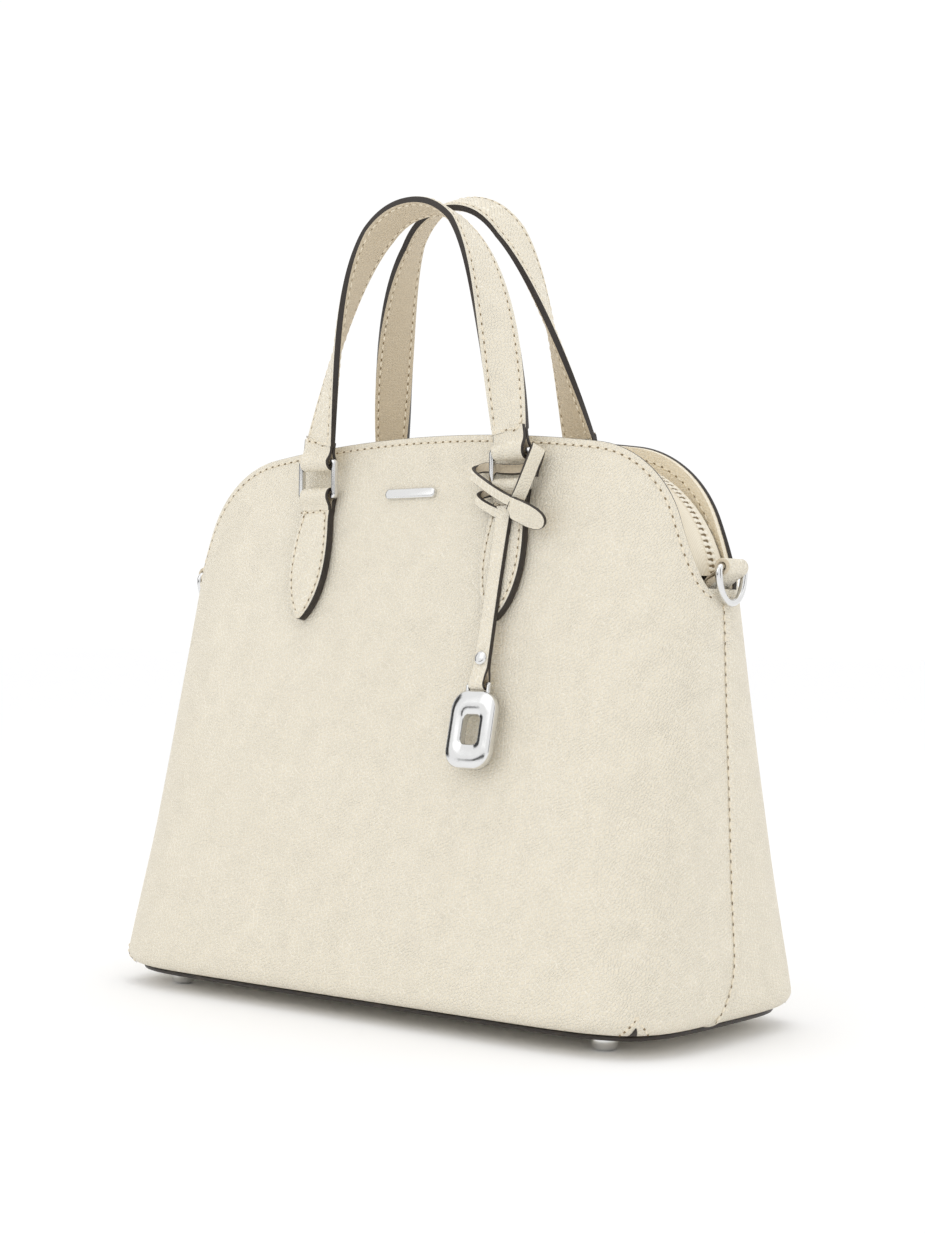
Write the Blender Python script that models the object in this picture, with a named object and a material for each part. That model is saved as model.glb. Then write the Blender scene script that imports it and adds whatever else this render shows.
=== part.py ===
"""Soft leather shopper bag with a domed zip top, two twisted carrying handles on rectangular
rings, end loops with D-rings, a studded base and a hanging tag.

Metres, +Z up. The origin is the middle of the base on the ground. The front faces -Y.
"""
import math

import bmesh
import bpy
from mathutils import Matrix, Vector
from mathutils.geometry import interpolate_bezier

# Whole bag
BASE_WIDTH = 0.3503
BASE_DEPTH = 0.1613
BODY_HEIGHT = 0.2845
MOUTH_DEPTH = 0.0365
END_INSET = 0.00985
END_DROP = 0.077
END_SPAN = 0.024
BASE_POWERS = (9.5, 4.7)
TOP_POWERS = (3.2, 2.65)

# Top edge of the two big panels: one wide arc, two shoulder arcs, two straight sides
TOP_ARC_RADIUS = 0.763
SHOULDER_SPAN = 0.0595
SHOULDER_RADIUS_SHARE = 0.975

# Leather and cloth
PANEL_THICKNESS = 0.0024
FACING_THICKNESS = 0.0014
LINING_THICKNESS = 0.0008
BASE_PANEL_THICKNESS = 0.0024
BOARD_THICKNESS = 0.0020
FACING_DEPTH = 0.0325
FACING_OVERLAP_GAP = 0.002
BOTTOM_ROLL = 0.008
BOTTOM_FLANGE = 0.007

# Clearances between pieces that touch
FIT_GAP = 0.0003
CLOTH_GAP = 0.0006
RUNNING_GAP = 0.0003

# Feet
FOOT_END_INSET = 0.039
FOOT_SIDE_INSET = 0.0305
FOOT_HEIGHT = 0.0070
FOOT_RADIUS = 0.0065
FOOT_FLAT_RADIUS = 0.0042
SHANK_RADIUS = 0.0020
WASHER_RADIUS = 0.0045
WASHER_THICKNESS = 0.0008

# Zip
ZIP_RECESS = 0.009
ZIP_SHOULDER_SHARE = 1.06
ZIP_END_ANGLE = math.radians(73)
BEAD_HALF_WIDTH = 0.0029
BEAD_THICKNESS = 0.0024
TAPE_THICKNESS = 0.0009
TAPE_GAP = 0.0009
SLIDER_LENGTH = 0.011
SLIDER_SHELL = 0.0012
SLIDER_FLANGE = 0.0009
SLIDER_FLANGE_DROP = 0.0008
SLIDER_END_GAP = 0.0042
ARCH_WINDOW_LENGTH = 0.0054
ARCH_WINDOW_HEIGHT = 0.0026
ARCH_THICKNESS = 0.0011
ARCH_WIDTH = 0.0022
PULLER_BAR = 0.0014
PULLER_HOLE_LENGTH = 0.0046
PULLER_HOLE_WIDTH = 0.0034
PULLER_WIDTH = 0.008
PULLER_LENGTH = 0.026

# Handles and their rings
HANDLE_SPACING = 0.126
FRONT_HANDLE_REACH = 0.1255
BACK_HANDLE_REACH = 0.1340
FRONT_HANDLE_LEAN = math.radians(1.8)
BACK_HANDLE_LEAN = math.radians(10.5)
STRAP_WIDTH = 0.019
STRAP_THICKNESS = 0.004
STRAP_EDGE = 0.0009
LEG_LEAN = math.radians(9)
LEG_REACH_SHARE = 0.70
CROWN_REACH_SHARE = 0.26
TWIST_LENGTH = 0.118
CROWN_TURN = math.radians(100)
RING_BAR_HEIGHT = 0.0026
RING_BAR_DEPTH = 0.0034
RING_SIDE_GAP = 0.0006
RING_WINDOW_HEIGHT = 0.015
RING_CORNER = 0.0022
RING_EDGE = 0.0005
RING_PIVOT_DROP = 0.0285
EYE_WALL = 0.0020

# Leather chapes that hold the rings
CHAPE_LENGTH = 0.0645
CHAPE_WIDTH = 0.024
CHAPE_THICKNESS = 0.005
CHAPE_SHOULDER = 0.010
CHAPE_OUTLINE_SHARES = (
    (0.00, 0.800), (0.20, 0.800), (0.34, 0.920), (0.50, 1.000), (0.66, 0.970),
    (0.80, 0.800), (0.90, 0.560), (0.97, 0.280), (1.00, 0.090),
)

# End loops and D-rings
D_WIRE = 0.0034
D_INNER_WIDTH = 0.018
D_DROP = 0.0165
D_CORNER = 0.0030
D_STAND_OFF = 0.0034
D_PIVOT_RISE = 0.010
TAB_SIDE_GAP = 0.0004
TAB_THICKNESS = 0.0036
TAB_ROOT_DROP = 0.020

# Hanging tag
CHARM_WIDTH = 0.009
CHARM_THICKNESS = 0.0026
CHARM_LENGTH = 0.077
CHARM_EYE_WALL = 0.0012
WRAP_WIDTH = 0.010
WRAP_THICKNESS = 0.0016
WRAP_DROP = 0.0095
WRAP_TILT = math.radians(8)
WRAP_TAIL = 0.012
WRAP_SIDE_GAP = 0.0012
TAG_WIDTH = 0.026
TAG_HEIGHT = 0.037
TAG_THICKNESS = 0.005
TAG_CORNER = 0.009
TAG_WINDOW_WIDTH = 0.010
TAG_WINDOW_HEIGHT = 0.014
BAIL_BAR = 0.0022
BAIL_SIDE = 0.0020
RIVET_HEAD_RADIUS = 0.0032
RIVET_HEAD_THICKNESS = 0.0012
RIVET_SHANK_RADIUS = 0.0012
RIVET_RISE = 0.012

# Inside pocket
POCKET_WIDTH = 0.170
POCKET_DEPTH = 0.090
POCKET_DROP = 0.020

# Derived heights and places
END_HEIGHT = BODY_HEIGHT - END_DROP
FACING_FOOT = END_HEIGHT - FACING_DEPTH
LINING_TOP = FACING_FOOT - FACING_OVERLAP_GAP
POCKET_TOP = LINING_TOP - POCKET_DROP
POCKET_FOOT = POCKET_TOP - POCKET_DEPTH
RING_PIVOT_HEIGHT = BODY_HEIGHT - RING_PIVOT_DROP
END_WIDTH = BASE_WIDTH - 2 * END_INSET
TOP_ARC_WIDTH = END_WIDTH - 2 * SHOULDER_SPAN
SHOULDER_RADIUS = SHOULDER_SPAN * SHOULDER_RADIUS_SHARE
ZIP_SHOULDER_RADIUS = SHOULDER_SPAN * ZIP_SHOULDER_SHARE
BASE_TOP = FOOT_HEIGHT + FIT_GAP + BASE_PANEL_THICKNESS
PANEL_FOOT = BASE_TOP + FIT_GAP
BOARD_FOOT = PANEL_FOOT + PANEL_THICKNESS + FIT_GAP
LINING_FOOT = BOARD_FOOT + BOARD_THICKNESS + WASHER_THICKNESS + 2 * FIT_GAP
ZIP_RADIUS = TOP_ARC_RADIUS - ZIP_RECESS
ARC_CENTRE_Z = BODY_HEIGHT - TOP_ARC_RADIUS
TOP_ARC_ANGLE = math.asin(TOP_ARC_WIDTH / 2 / TOP_ARC_RADIUS)
SLIDER_REST_ANGLE = -(TOP_ARC_WIDTH / 2 - SLIDER_LENGTH / 2 - SLIDER_END_GAP) / ZIP_RADIUS
PANEL_LEAN = math.atan2((BASE_DEPTH - MOUTH_DEPTH) / 2, BODY_HEIGHT)
RING_BAR_SWEEP = math.hypot(RING_BAR_HEIGHT, RING_BAR_DEPTH) / 2
EYE_HOLE_RADIUS = RING_BAR_SWEEP + RUNNING_GAP
EYE_RADIUS = EYE_HOLE_RADIUS + EYE_WALL
RING_WINDOW_WIDTH = STRAP_WIDTH + 2 * RING_SIDE_GAP
RING_RISE = RING_WINDOW_HEIGHT + RING_BAR_HEIGHT

# Counts
PANEL_STEPS = (6, 6, 4, 2)
LINING_STEPS = (3, 3, 2, 1)
ZIP_STEPS = (8, 8)
HANDLE_STEPS = 22
ROUND_STEPS = 16
FINE_STEPS = 12
NUDGE_SHARE = 0.00001


def clear_scene():
    """Start from an empty file."""
    for item in list(bpy.data.objects):
        bpy.data.objects.remove(item, do_unlink=True)


def make_material(name, color, roughness, metallic):
    """Plain shaded material in the piece's own colour."""
    material = bpy.data.materials.new(name)
    material.use_nodes = True
    shader = material.node_tree.nodes["Principled BSDF"]
    shader.inputs["Base Color"].default_value = (*color, 1.0)
    shader.inputs["Roughness"].default_value = roughness
    shader.inputs["Metallic"].default_value = metallic
    return material


def add_object(name, mesh_source, look, location=(0, 0, 0), rotation=None):
    """Turn a bmesh into a named object with its own material."""
    mesh = bpy.data.meshes.new(name)
    bmesh.ops.recalc_face_normals(mesh_source, faces=mesh_source.faces)
    mesh_source.to_mesh(mesh)
    mesh_source.free()
    item = bpy.data.objects.new(name, mesh)
    bpy.context.collection.objects.link(item)
    color, roughness, metallic = look
    mesh.materials.append(make_material(name, color, roughness, metallic))
    item.location = location
    if rotation is not None:
        item.rotation_euler = rotation.to_euler()
    return item


def add_cutter(name, mesh_source, location=(0, 0, 0), rotation=None):
    """Helper solid for a Boolean, left out of the finished object."""
    cutter = add_object(name, mesh_source, CUTTER_LOOK, location, rotation)
    cutter.hide_render = True
    cutter.display_type = "WIRE"
    return cutter


def add_boolean(item, cutter, operation):
    """Join, cut or intersect one solid with another."""
    modifier = item.modifiers.new(operation.lower(), "BOOLEAN")
    modifier.operation = operation
    modifier.solver = "EXACT"
    modifier.object = cutter


def add_solidify(item, thickness):
    """Give a sheet its thickness on the inner side."""
    modifier = item.modifiers.new("thickness", "SOLIDIFY")
    modifier.thickness = thickness
    modifier.offset = -1
    modifier.use_even_offset = True


def add_bevel(item, width, segments=1):
    """Take the sharp edges off a hard piece."""
    modifier = item.modifiers.new("edge", "BEVEL")
    modifier.width = width
    modifier.segments = segments
    modifier.limit_method = "ANGLE"
    modifier.angle_limit = math.radians(50)


def shade_round(item):
    """Smooth shading with creases at real edges."""
    item.data.shade_smooth()
    item.data.set_sharp_from_angle(angle=math.radians(40))


CUTTER_LOOK = ((0.5, 0.5, 0.5), 0.5, 0.0)
LEATHER_LOOK = ((0.80, 0.74, 0.62), 0.55, 0.0)
FACING_LOOK = ((0.58, 0.49, 0.36), 0.60, 0.0)
EDGE_LOOK = ((0.045, 0.038, 0.034), 0.45, 0.0)
LINING_LOOK = ((0.42, 0.36, 0.28), 0.85, 0.0)
BOARD_LOOK = ((0.30, 0.27, 0.23), 0.80, 0.0)
TAPE_LOOK = ((0.70, 0.63, 0.52), 0.75, 0.0)
METAL_LOOK = ((0.78, 0.78, 0.77), 0.12, 1.0)


def roll_inset(z):
    """How far the rounded bottom edge draws the outline in at height z."""
    height = min(max(z - PANEL_FOOT, 0), BOTTOM_ROLL)
    lean = 1 - height / BOTTOM_ROLL
    return BOTTOM_ROLL * (1 - math.sqrt(1 - lean * lean))


def outline_at(z):
    """Half width, half depth and the two powers of the horizontal outline at height z."""
    inset = roll_inset(z)
    half_width = BASE_WIDTH / 2 + (END_WIDTH - BASE_WIDTH) / 2 * z / END_HEIGHT - inset
    rise = z / BODY_HEIGHT
    half_depth = BASE_DEPTH / 2 + (MOUTH_DEPTH - BASE_DEPTH) / 2 * rise - inset
    power_x = BASE_POWERS[0] + (TOP_POWERS[0] - BASE_POWERS[0]) * rise
    power_y = BASE_POWERS[1] + (TOP_POWERS[1] - BASE_POWERS[1]) * rise
    return half_width, half_depth, power_x, power_y


def depth_at(x, z):
    """Distance of the outer surface from the middle plane at a place and height."""
    half_width, half_depth, power_x, power_y = outline_at(z)
    share = min(abs(x) / half_width, 1)
    return half_depth * (1 - share ** power_x) ** (1 / power_y)


def width_at(y, z):
    """Distance of the outer surface from the middle of the bag towards an end."""
    half_width, half_depth, power_x, power_y = outline_at(z)
    share = min(abs(y) / half_depth, 1)
    return half_width * (1 - share ** power_y) ** (1 / power_x)


def fullness(point):
    """Value that is zero on the outer surface and grows outwards."""
    half_width, half_depth, power_x, power_y = outline_at(point.z)
    return abs(point.x / half_width) ** power_x + abs(point.y / half_depth) ** power_y


def surface_normal(point):
    """Outward direction of the outer surface."""
    nudge = NUDGE_SHARE * BODY_HEIGHT
    slopes = []
    for axis in range(3):
        step = Vector((0, 0, 0))
        step[axis] = nudge
        slopes.append(fullness(point + step) - fullness(point - step))
    return Vector(slopes).normalized()


DOME_END_X = width_at(END_SPAN / 2, END_HEIGHT)


def arc_points(centre_x, centre_z, radius, first, last, steps):
    """Points on an arc, with angles measured from straight up towards +X."""
    points = []
    for step in range(steps + 1):
        angle = first + (last - first) * step / steps
        points.append((centre_x + radius * math.sin(angle), centre_z + radius * math.cos(angle)))
    return points


def top_edge(top_steps, shoulder_steps, side_steps):
    """Right half of the panels' top edge, from the middle to the end, as x and z."""
    reach = TOP_ARC_RADIUS - SHOULDER_RADIUS
    centre_x = reach * math.sin(TOP_ARC_ANGLE)
    centre_z = ARC_CENTRE_Z + reach * math.cos(TOP_ARC_ANGLE)
    across = DOME_END_X - centre_x
    up = END_HEIGHT - centre_z
    touch = math.atan2(across, up) - math.acos(SHOULDER_RADIUS / math.hypot(across, up))
    points = arc_points(0, ARC_CENTRE_Z, TOP_ARC_RADIUS, 0, TOP_ARC_ANGLE, top_steps)
    points += arc_points(centre_x, centre_z, SHOULDER_RADIUS, TOP_ARC_ANGLE, touch, shoulder_steps)[1:]
    start = points[-1]
    for step in range(1, side_steps + 1):
        share = step / side_steps
        points.append((start[0] + (DOME_END_X - start[0]) * share, start[1] + (END_HEIGHT - start[1]) * share))
    return points


def zip_path():
    """Line of the zip from the left end to the right end, as x, z and angle from straight up."""
    reach = ZIP_RADIUS - ZIP_SHOULDER_RADIUS
    centre_x = reach * math.sin(TOP_ARC_ANGLE)
    centre_z = ARC_CENTRE_Z + reach * math.cos(TOP_ARC_ANGLE)
    half = []
    for step in range(ZIP_STEPS[0]):
        angle = TOP_ARC_ANGLE * step / ZIP_STEPS[0]
        half.append((ZIP_RADIUS * math.sin(angle), ARC_CENTRE_Z + ZIP_RADIUS * math.cos(angle), angle))
    for step in range(ZIP_STEPS[1] + 1):
        angle = TOP_ARC_ANGLE + (ZIP_END_ANGLE - TOP_ARC_ANGLE) * step / ZIP_STEPS[1]
        x = centre_x + ZIP_SHOULDER_RADIUS * math.sin(angle)
        half.append((x, centre_z + ZIP_SHOULDER_RADIUS * math.cos(angle), angle))
    mirrored = [(-x, z, -angle) for x, z, angle in reversed(half[1:])]
    return mirrored + half


class Column:
    """One upright line of the shell, on the dome part or on the flat end part."""

    def __init__(self, share, top, end_share=0.0):
        self.share = share
        self.top = top
        self.end_share = end_share

    def place(self, z):
        """Outer surface point of the front half at height z, with y as a distance."""
        half_width = outline_at(z)[0]
        side = 1 if self.share >= 0 else -1
        x = self.share * half_width
        y = depth_at(x, z)
        if self.end_share:
            y *= 1 - self.end_share
            x = side * width_at(y, z)
        return x, y


def make_columns(steps, with_ends=True):
    """Columns from the left end to the right end."""
    edge = top_edge(*steps[:3])
    half = [Column(x / outline_at(z)[0], z) for x, z in edge]
    if with_ends:
        last = half[-1]
        for step in range(1, steps[3] + 1):
            half.append(Column(last.share, END_HEIGHT, step / steps[3]))
    mirrored = [Column(-c.share, c.top, c.end_share) for c in reversed(half[1:])]
    return mirrored + half


def shell_point(column, z, depth, face):
    """Point on a column, at a depth under the outer surface; face is -1 in front, 1 behind."""
    x, y = column.place(z)
    point = Vector((x, face * y, z))
    return point - surface_normal(point) * depth


def grid_faces(mesh_source, rows):
    """Faces between neighbouring rows of vertices."""
    for low, high in zip(rows, rows[1:]):
        for index in range(len(low) - 1):
            mesh_source.faces.new((low[index], low[index + 1], high[index + 1], high[index]))


def make_shell_sheet(name, columns, rows, depth, thickness, face, look):
    """Curved sheet of leather; rows holds a height for each column or a function of its top."""
    source = bmesh.new()
    grid = []
    for row in rows:
        line = []
        for column in columns:
            z = row(column.top)
            point = shell_point(column, z, depth, face)
            if column.end_share == 1:
                point.y = face * FIT_GAP / 2
            line.append(source.verts.new(point))
        grid.append(line)
    grid_faces(source, grid)
    item = add_object(name, source, look)
    point_outwards(item, face)
    add_solidify(item, thickness)
    shade_round(item)
    return item


def point_outwards(item, face):
    """Turn an open sheet's faces away from the inside of the bag."""
    source = bmesh.new()
    source.from_mesh(item.data)
    total = sum((polygon.normal.y * polygon.calc_area() for polygon in source.faces))
    if total * face < 0:
        bmesh.ops.reverse_faces(source, faces=source.faces)
    source.to_mesh(item.data)
    source.free()


def wall_rows(foot, count):
    """Heights from a foot up to each column's own top."""
    rows = []
    for step in range(count + 1):
        share = step / count
        rows.append(lambda top, share=share: foot + (top - foot) * share)
    return rows


def make_panel(name, face):
    """Front or back leather panel: turned-in bottom flange, rolled edge, wall and dome."""
    columns = make_columns(PANEL_STEPS)
    source = bmesh.new()
    flange = []
    for column in columns:
        x, y = column.place(PANEL_FOOT)
        half_width, half_depth = outline_at(PANEL_FOOT)[:2]
        flange_x = x * (half_width - BOTTOM_FLANGE) / half_width
        flange_y = y * (half_depth - BOTTOM_FLANGE) / half_depth
        if column.end_share == 1:
            flange_y = FIT_GAP / 2
        flange.append(source.verts.new((flange_x, face * flange_y, PANEL_FOOT)))
    grid = [flange]
    rows = [lambda top, share=share: PANEL_FOOT + BOTTOM_ROLL * share for share in ROLL_SHARES]
    rows += wall_rows(PANEL_FOOT + BOTTOM_ROLL, PANEL_ROWS)
    for row in rows:
        line = []
        for column in columns:
            z = row(column.top)
            x, y = column.place(z)
            if column.end_share == 1:
                y = FIT_GAP / 2
            line.append(source.verts.new((x, face * y, z)))
        grid.append(line)
    grid_faces(source, grid)
    item = add_object(name, source, LEATHER_LOOK)
    point_outwards(item, face)
    add_solidify(item, PANEL_THICKNESS)
    shade_round(item)
    return item


ROLL_SHARES = (0.0, 0.12, 0.45)
PANEL_ROWS = 6
FACING_ROWS = 3
LINING_ROWS = 4


def make_facing(name, face):
    """Inner leather band behind the top edge of a panel."""
    columns = make_columns(PANEL_STEPS, with_ends=False)
    depth = PANEL_THICKNESS + FIT_GAP
    return make_shell_sheet(name, columns, wall_rows(FACING_FOOT, FACING_ROWS), depth, FACING_THICKNESS,
                            face, FACING_LOOK)


def ring_of_columns(columns, z, depth):
    """Closed horizontal loop of points at one height and one depth."""
    front = [shell_point(column, z, depth, -1) for column in columns]
    back = [shell_point(column, z, depth, 1) for column in reversed(columns[1:-1])]
    return front + back


def make_lining():
    """Cloth lining, an open tub that stands on the base board."""
    columns = make_columns(LINING_STEPS)
    depth = PANEL_THICKNESS + CLOTH_GAP
    levels = [(LINING_FOOT, depth + BOTTOM_ROLL / 2), (PANEL_FOOT + BOTTOM_ROLL + CLOTH_GAP, depth)]
    wall_foot = levels[-1][0]
    for step in range(1, LINING_ROWS + 1):
        levels.append((wall_foot + (LINING_TOP - wall_foot) * step / LINING_ROWS, depth))
    source = bmesh.new()
    loops = []
    for z, inset in levels:
        loops.append([source.verts.new(point) for point in ring_of_columns(columns, z, inset)])
    for low, high in zip(loops, loops[1:]):
        for index in range(len(low)):
            following = (index + 1) % len(low)
            source.faces.new((low[index], low[following], high[following], high[index]))
    source.faces.new(reversed(loops[0]))
    item = add_object("lining", source, LINING_LOOK)
    add_solidify(item, LINING_THICKNESS)
    shade_round(item)
    return item


def make_pocket():
    """Flat slip pocket against the back wall of the lining."""
    limit = POCKET_WIDTH / 2 / outline_at(POCKET_TOP)[0]
    columns = [Column(limit * share, POCKET_TOP) for share in (-1, -0.5, 0, 0.5, 1)]
    depth = PANEL_THICKNESS + LINING_THICKNESS + 2 * CLOTH_GAP
    return make_shell_sheet("inner_pocket", columns, wall_rows(POCKET_FOOT, 2), depth, LINING_THICKNESS,
                            1, LINING_LOOK)


def plate_outline(inset):
    """Closed outline of the base, drawn in from the panels' bottom edge by an inset."""
    half_width, half_depth = outline_at(PANEL_FOOT)[:2]
    points = []
    for column in make_columns(PANEL_STEPS):
        x, y = column.place(PANEL_FOOT)
        points.append((x * (half_width - inset) / half_width, -y * (half_depth - inset) / half_depth))
    return points + [(x, -y) for x, y in reversed(points[1:-1])]


def extrude_outline(points, low, high, to_point):
    """Solid between two copies of an outline; to_point places a flat point at a level."""
    source = bmesh.new()
    face = source.faces.new([source.verts.new(to_point(a, b, low)) for a, b in points])
    grown = bmesh.ops.extrude_face_region(source, geom=[face])
    shift = to_point(0, 0, high) - to_point(0, 0, low)
    moved = [item for item in grown["geom"] if isinstance(item, bmesh.types.BMVert)]
    bmesh.ops.translate(source, verts=moved, vec=shift)
    return source


def flat_point(x, y, z):
    """Places an outline in the horizontal plane."""
    return Vector((x, y, z))


def side_point(y, z, x):
    """Places an outline in the plane across the bag, extruded along X."""
    return Vector((x, y, z))


def front_point(x, z, y):
    """Places an outline in the plane of the bag's front, extruded along Y."""
    return Vector((x, y, z))


def foot_places():
    """The four places of the base studs."""
    for name_x, side_x in (("left", -1), ("right", 1)):
        for name_y, side_y in (("front", -1), ("back", 1)):
            yield f"{name_y}_{name_x}", side_x * (BASE_WIDTH / 2 - FOOT_END_INSET), side_y * (BASE_DEPTH / 2 - FOOT_SIDE_INSET)


def cylinder(radius, low, high, steps, axis="Z"):
    """Plain round bar along an axis."""
    source = bmesh.new()
    bmesh.ops.create_cone(source, cap_ends=True, segments=steps, radius1=radius, radius2=radius,
                          depth=high - low)
    bmesh.ops.translate(source, verts=source.verts, vec=(0, 0, (low + high) / 2))
    if axis == "X":
        bmesh.ops.rotate(source, verts=source.verts, cent=(0, 0, 0), matrix=Matrix.Rotation(math.pi / 2, 3, "Y"))
    if axis == "Y":
        bmesh.ops.rotate(source, verts=source.verts, cent=(0, 0, 0), matrix=Matrix.Rotation(math.pi / 2, 3, "X"))
    return source


def make_base():
    """Base panel with its dark edge, and the stiff board above it, both drilled for the studs."""
    plates = (
        ("base_panel", 0, FOOT_HEIGHT + FIT_GAP, BASE_TOP, EDGE_LOOK),
        ("base_board", BOTTOM_FLANGE / 2, BOARD_FOOT, BOARD_FOOT + BOARD_THICKNESS, BOARD_LOOK),
    )
    hole_radius = SHANK_RADIUS + RUNNING_GAP
    for name, inset, low, high, look in plates:
        plate = add_object(name, extrude_outline(plate_outline(inset), low, high, flat_point), look)
        for place, x, y in foot_places():
            drill = cylinder(hole_radius, 0, 2 * high, FINE_STEPS)
            cutter = add_cutter(f"{name}_drill_{place}", drill, (x, y, 0))
            add_boolean(plate, cutter, "DIFFERENCE")


def lathe(profile, steps):
    """Solid turned about Z from a profile of radius and height that starts and ends on the axis."""
    source = bmesh.new()
    verts = [source.verts.new((radius, 0, z)) for radius, z in profile]
    edges = [source.edges.new(pair) for pair in zip(verts, verts[1:])]
    bmesh.ops.spin(source, geom=verts + edges, cent=(0, 0, 0), axis=(0, 0, 1), angle=2 * math.pi, steps=steps)
    bmesh.ops.remove_doubles(source, verts=source.verts, dist=MERGE_DISTANCE)
    return source


MERGE_DISTANCE = 0.000001


def make_feet():
    """Metal studs with a shank through base panel and board and a washer above."""
    washer_foot = BOARD_FOOT + BOARD_THICKNESS + FIT_GAP
    washer_top = washer_foot + WASHER_THICKNESS
    profile = (
        (0, 0), (FOOT_FLAT_RADIUS, 0), (FOOT_RADIUS * 0.94, FOOT_HEIGHT * 0.35), (FOOT_RADIUS, FOOT_HEIGHT * 0.7),
        (FOOT_RADIUS * 0.96, FOOT_HEIGHT), (SHANK_RADIUS, FOOT_HEIGHT), (SHANK_RADIUS, washer_foot),
        (WASHER_RADIUS, washer_foot), (WASHER_RADIUS, washer_top), (0, washer_top),
    )
    for place, x, y in foot_places():
        item = add_object(f"foot_{place}", lathe(profile, FINE_STEPS), METAL_LOOK, (x, y, 0))
        shade_round(item)


def tape_reach(x, z):
    """How far the zip tape reaches sideways before it meets the facing."""
    depth = depth_at(x, z)
    normal = surface_normal(Vector((x, depth, z)))
    wall = PANEL_THICKNESS + FIT_GAP + FACING_THICKNESS + TAPE_GAP
    return depth - wall / normal.y


def make_zip_tape(name, face):
    """Half of the zip: a thin tape with the thick row of elements along its inner edge."""
    source = bmesh.new()
    rings = []
    for x, z, angle in zip_path():
        outer = tape_reach(x, z)
        bead = BEAD_THICKNESS / 2
        tape = TAPE_THICKNESS / 2
        section = ((FIT_GAP / 2, bead), (BEAD_HALF_WIDTH, bead), (BEAD_HALF_WIDTH, tape), (outer, tape))
        section += tuple((y, -rise) for y, rise in reversed(section))
        up = Vector((math.sin(angle), 0, math.cos(angle)))
        centre = Vector((x, 0, z))
        rings.append([source.verts.new(centre + up * rise + Vector((0, face * y, 0))) for y, rise in section])
    for low, high in zip(rings, rings[1:]):
        for index in range(len(low)):
            following = (index + 1) % len(low)
            source.faces.new((low[index], low[following], high[following], high[index]))
    source.faces.new(rings[0])
    source.faces.new(rings[-1])
    item = add_object(name, source, TAPE_LOOK)
    shade_round(item)


def slider_shell(side):
    """Outline of a slider shell across the zip: a plate with two short flanges."""
    clear = BEAD_THICKNESS / 2 + RUNNING_GAP
    outer = BEAD_HALF_WIDTH + RUNNING_GAP + SLIDER_FLANGE
    inner = outer - SLIDER_FLANGE
    points = (
        (-outer, clear + SLIDER_SHELL), (-outer, SLIDER_FLANGE_DROP), (-inner, SLIDER_FLANGE_DROP), (-inner, clear),
        (inner, clear), (inner, SLIDER_FLANGE_DROP), (outer, SLIDER_FLANGE_DROP), (outer, clear + SLIDER_SHELL),
    )
    return [(y, ZIP_RADIUS + side * rise) for y, rise in points]


def make_slider():
    """Zip slider in two shells over and under the zip, with the puller's arch on top."""
    rest = Matrix.Rotation(SLIDER_REST_ANGLE, 3, "Y")
    axis_place = (0, 0, ARC_CENTRE_Z)
    half = SLIDER_LENGTH / 2
    upper = extrude_outline(slider_shell(1), -half, half, side_point)
    lower = extrude_outline(slider_shell(-1), -half, half, side_point)
    top = ZIP_RADIUS + BEAD_THICKNESS / 2 + RUNNING_GAP + SLIDER_SHELL
    sunk = top - SLIDER_SHELL / 2
    window_x = ARCH_WINDOW_LENGTH / 2
    window_top = top + ARCH_WINDOW_HEIGHT
    outer_x = window_x + ARCH_THICKNESS
    outer_top = window_top + ARCH_THICKNESS
    chamfer = ARCH_THICKNESS
    arch_outline = [
        (-outer_x, sunk), (-window_x, sunk), (-window_x, window_top), (window_x, window_top), (window_x, sunk),
        (outer_x, sunk), (outer_x, outer_top - chamfer), (outer_x - chamfer, outer_top),
        (chamfer - outer_x, outer_top), (-outer_x, outer_top - chamfer),
    ]
    arch = extrude_outline(arch_outline, -ARCH_WIDTH / 2, ARCH_WIDTH / 2, front_point)
    item = add_object("zip_slider", upper, METAL_LOOK, axis_place, rest)
    add_boolean(item, add_cutter("zip_slider_arch", arch, axis_place, rest), "UNION")
    add_object("zip_slider_underside", lower, METAL_LOOK, axis_place, rest)
    pivot_radius = top + ARCH_WINDOW_HEIGHT / 2
    pivot = Vector(axis_place) + rest @ Vector((0, 0, pivot_radius))
    make_puller(pivot, rest)


def rounded_outline(left, right, low, high, radius, steps):
    """Rectangle with rounded corners."""
    corners = (
        (right - radius, high - radius, 0), (left + radius, high - radius, 1),
        (left + radius, low + radius, 2), (right - radius, low + radius, 3),
    )
    points = []
    for centre_x, centre_y, quarter in corners:
        for step in range(steps + 1):
            angle = math.pi / 2 * (quarter + step / steps)
            points.append((centre_x + radius * math.cos(angle), centre_y + radius * math.sin(angle)))
    return points


def framed_plate(outer, inner, low, high, to_point):
    """Plate with one window; both outlines have as many points."""
    source = bmesh.new()
    rings = []
    for level in (low, high):
        rings.append([source.verts.new(to_point(a, b, level)) for a, b in outer])
        rings.append([source.verts.new(to_point(a, b, level)) for a, b in inner])
    low_outer, low_inner, high_outer, high_inner = rings
    for first, second in ((low_outer, low_inner), (low_inner, high_inner), (high_inner, high_outer),
                          (high_outer, low_outer)):
        for index in range(len(first)):
            following = (index + 1) % len(first)
            source.faces.new((first[index], first[following], second[following], second[index]))
    return source


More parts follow.
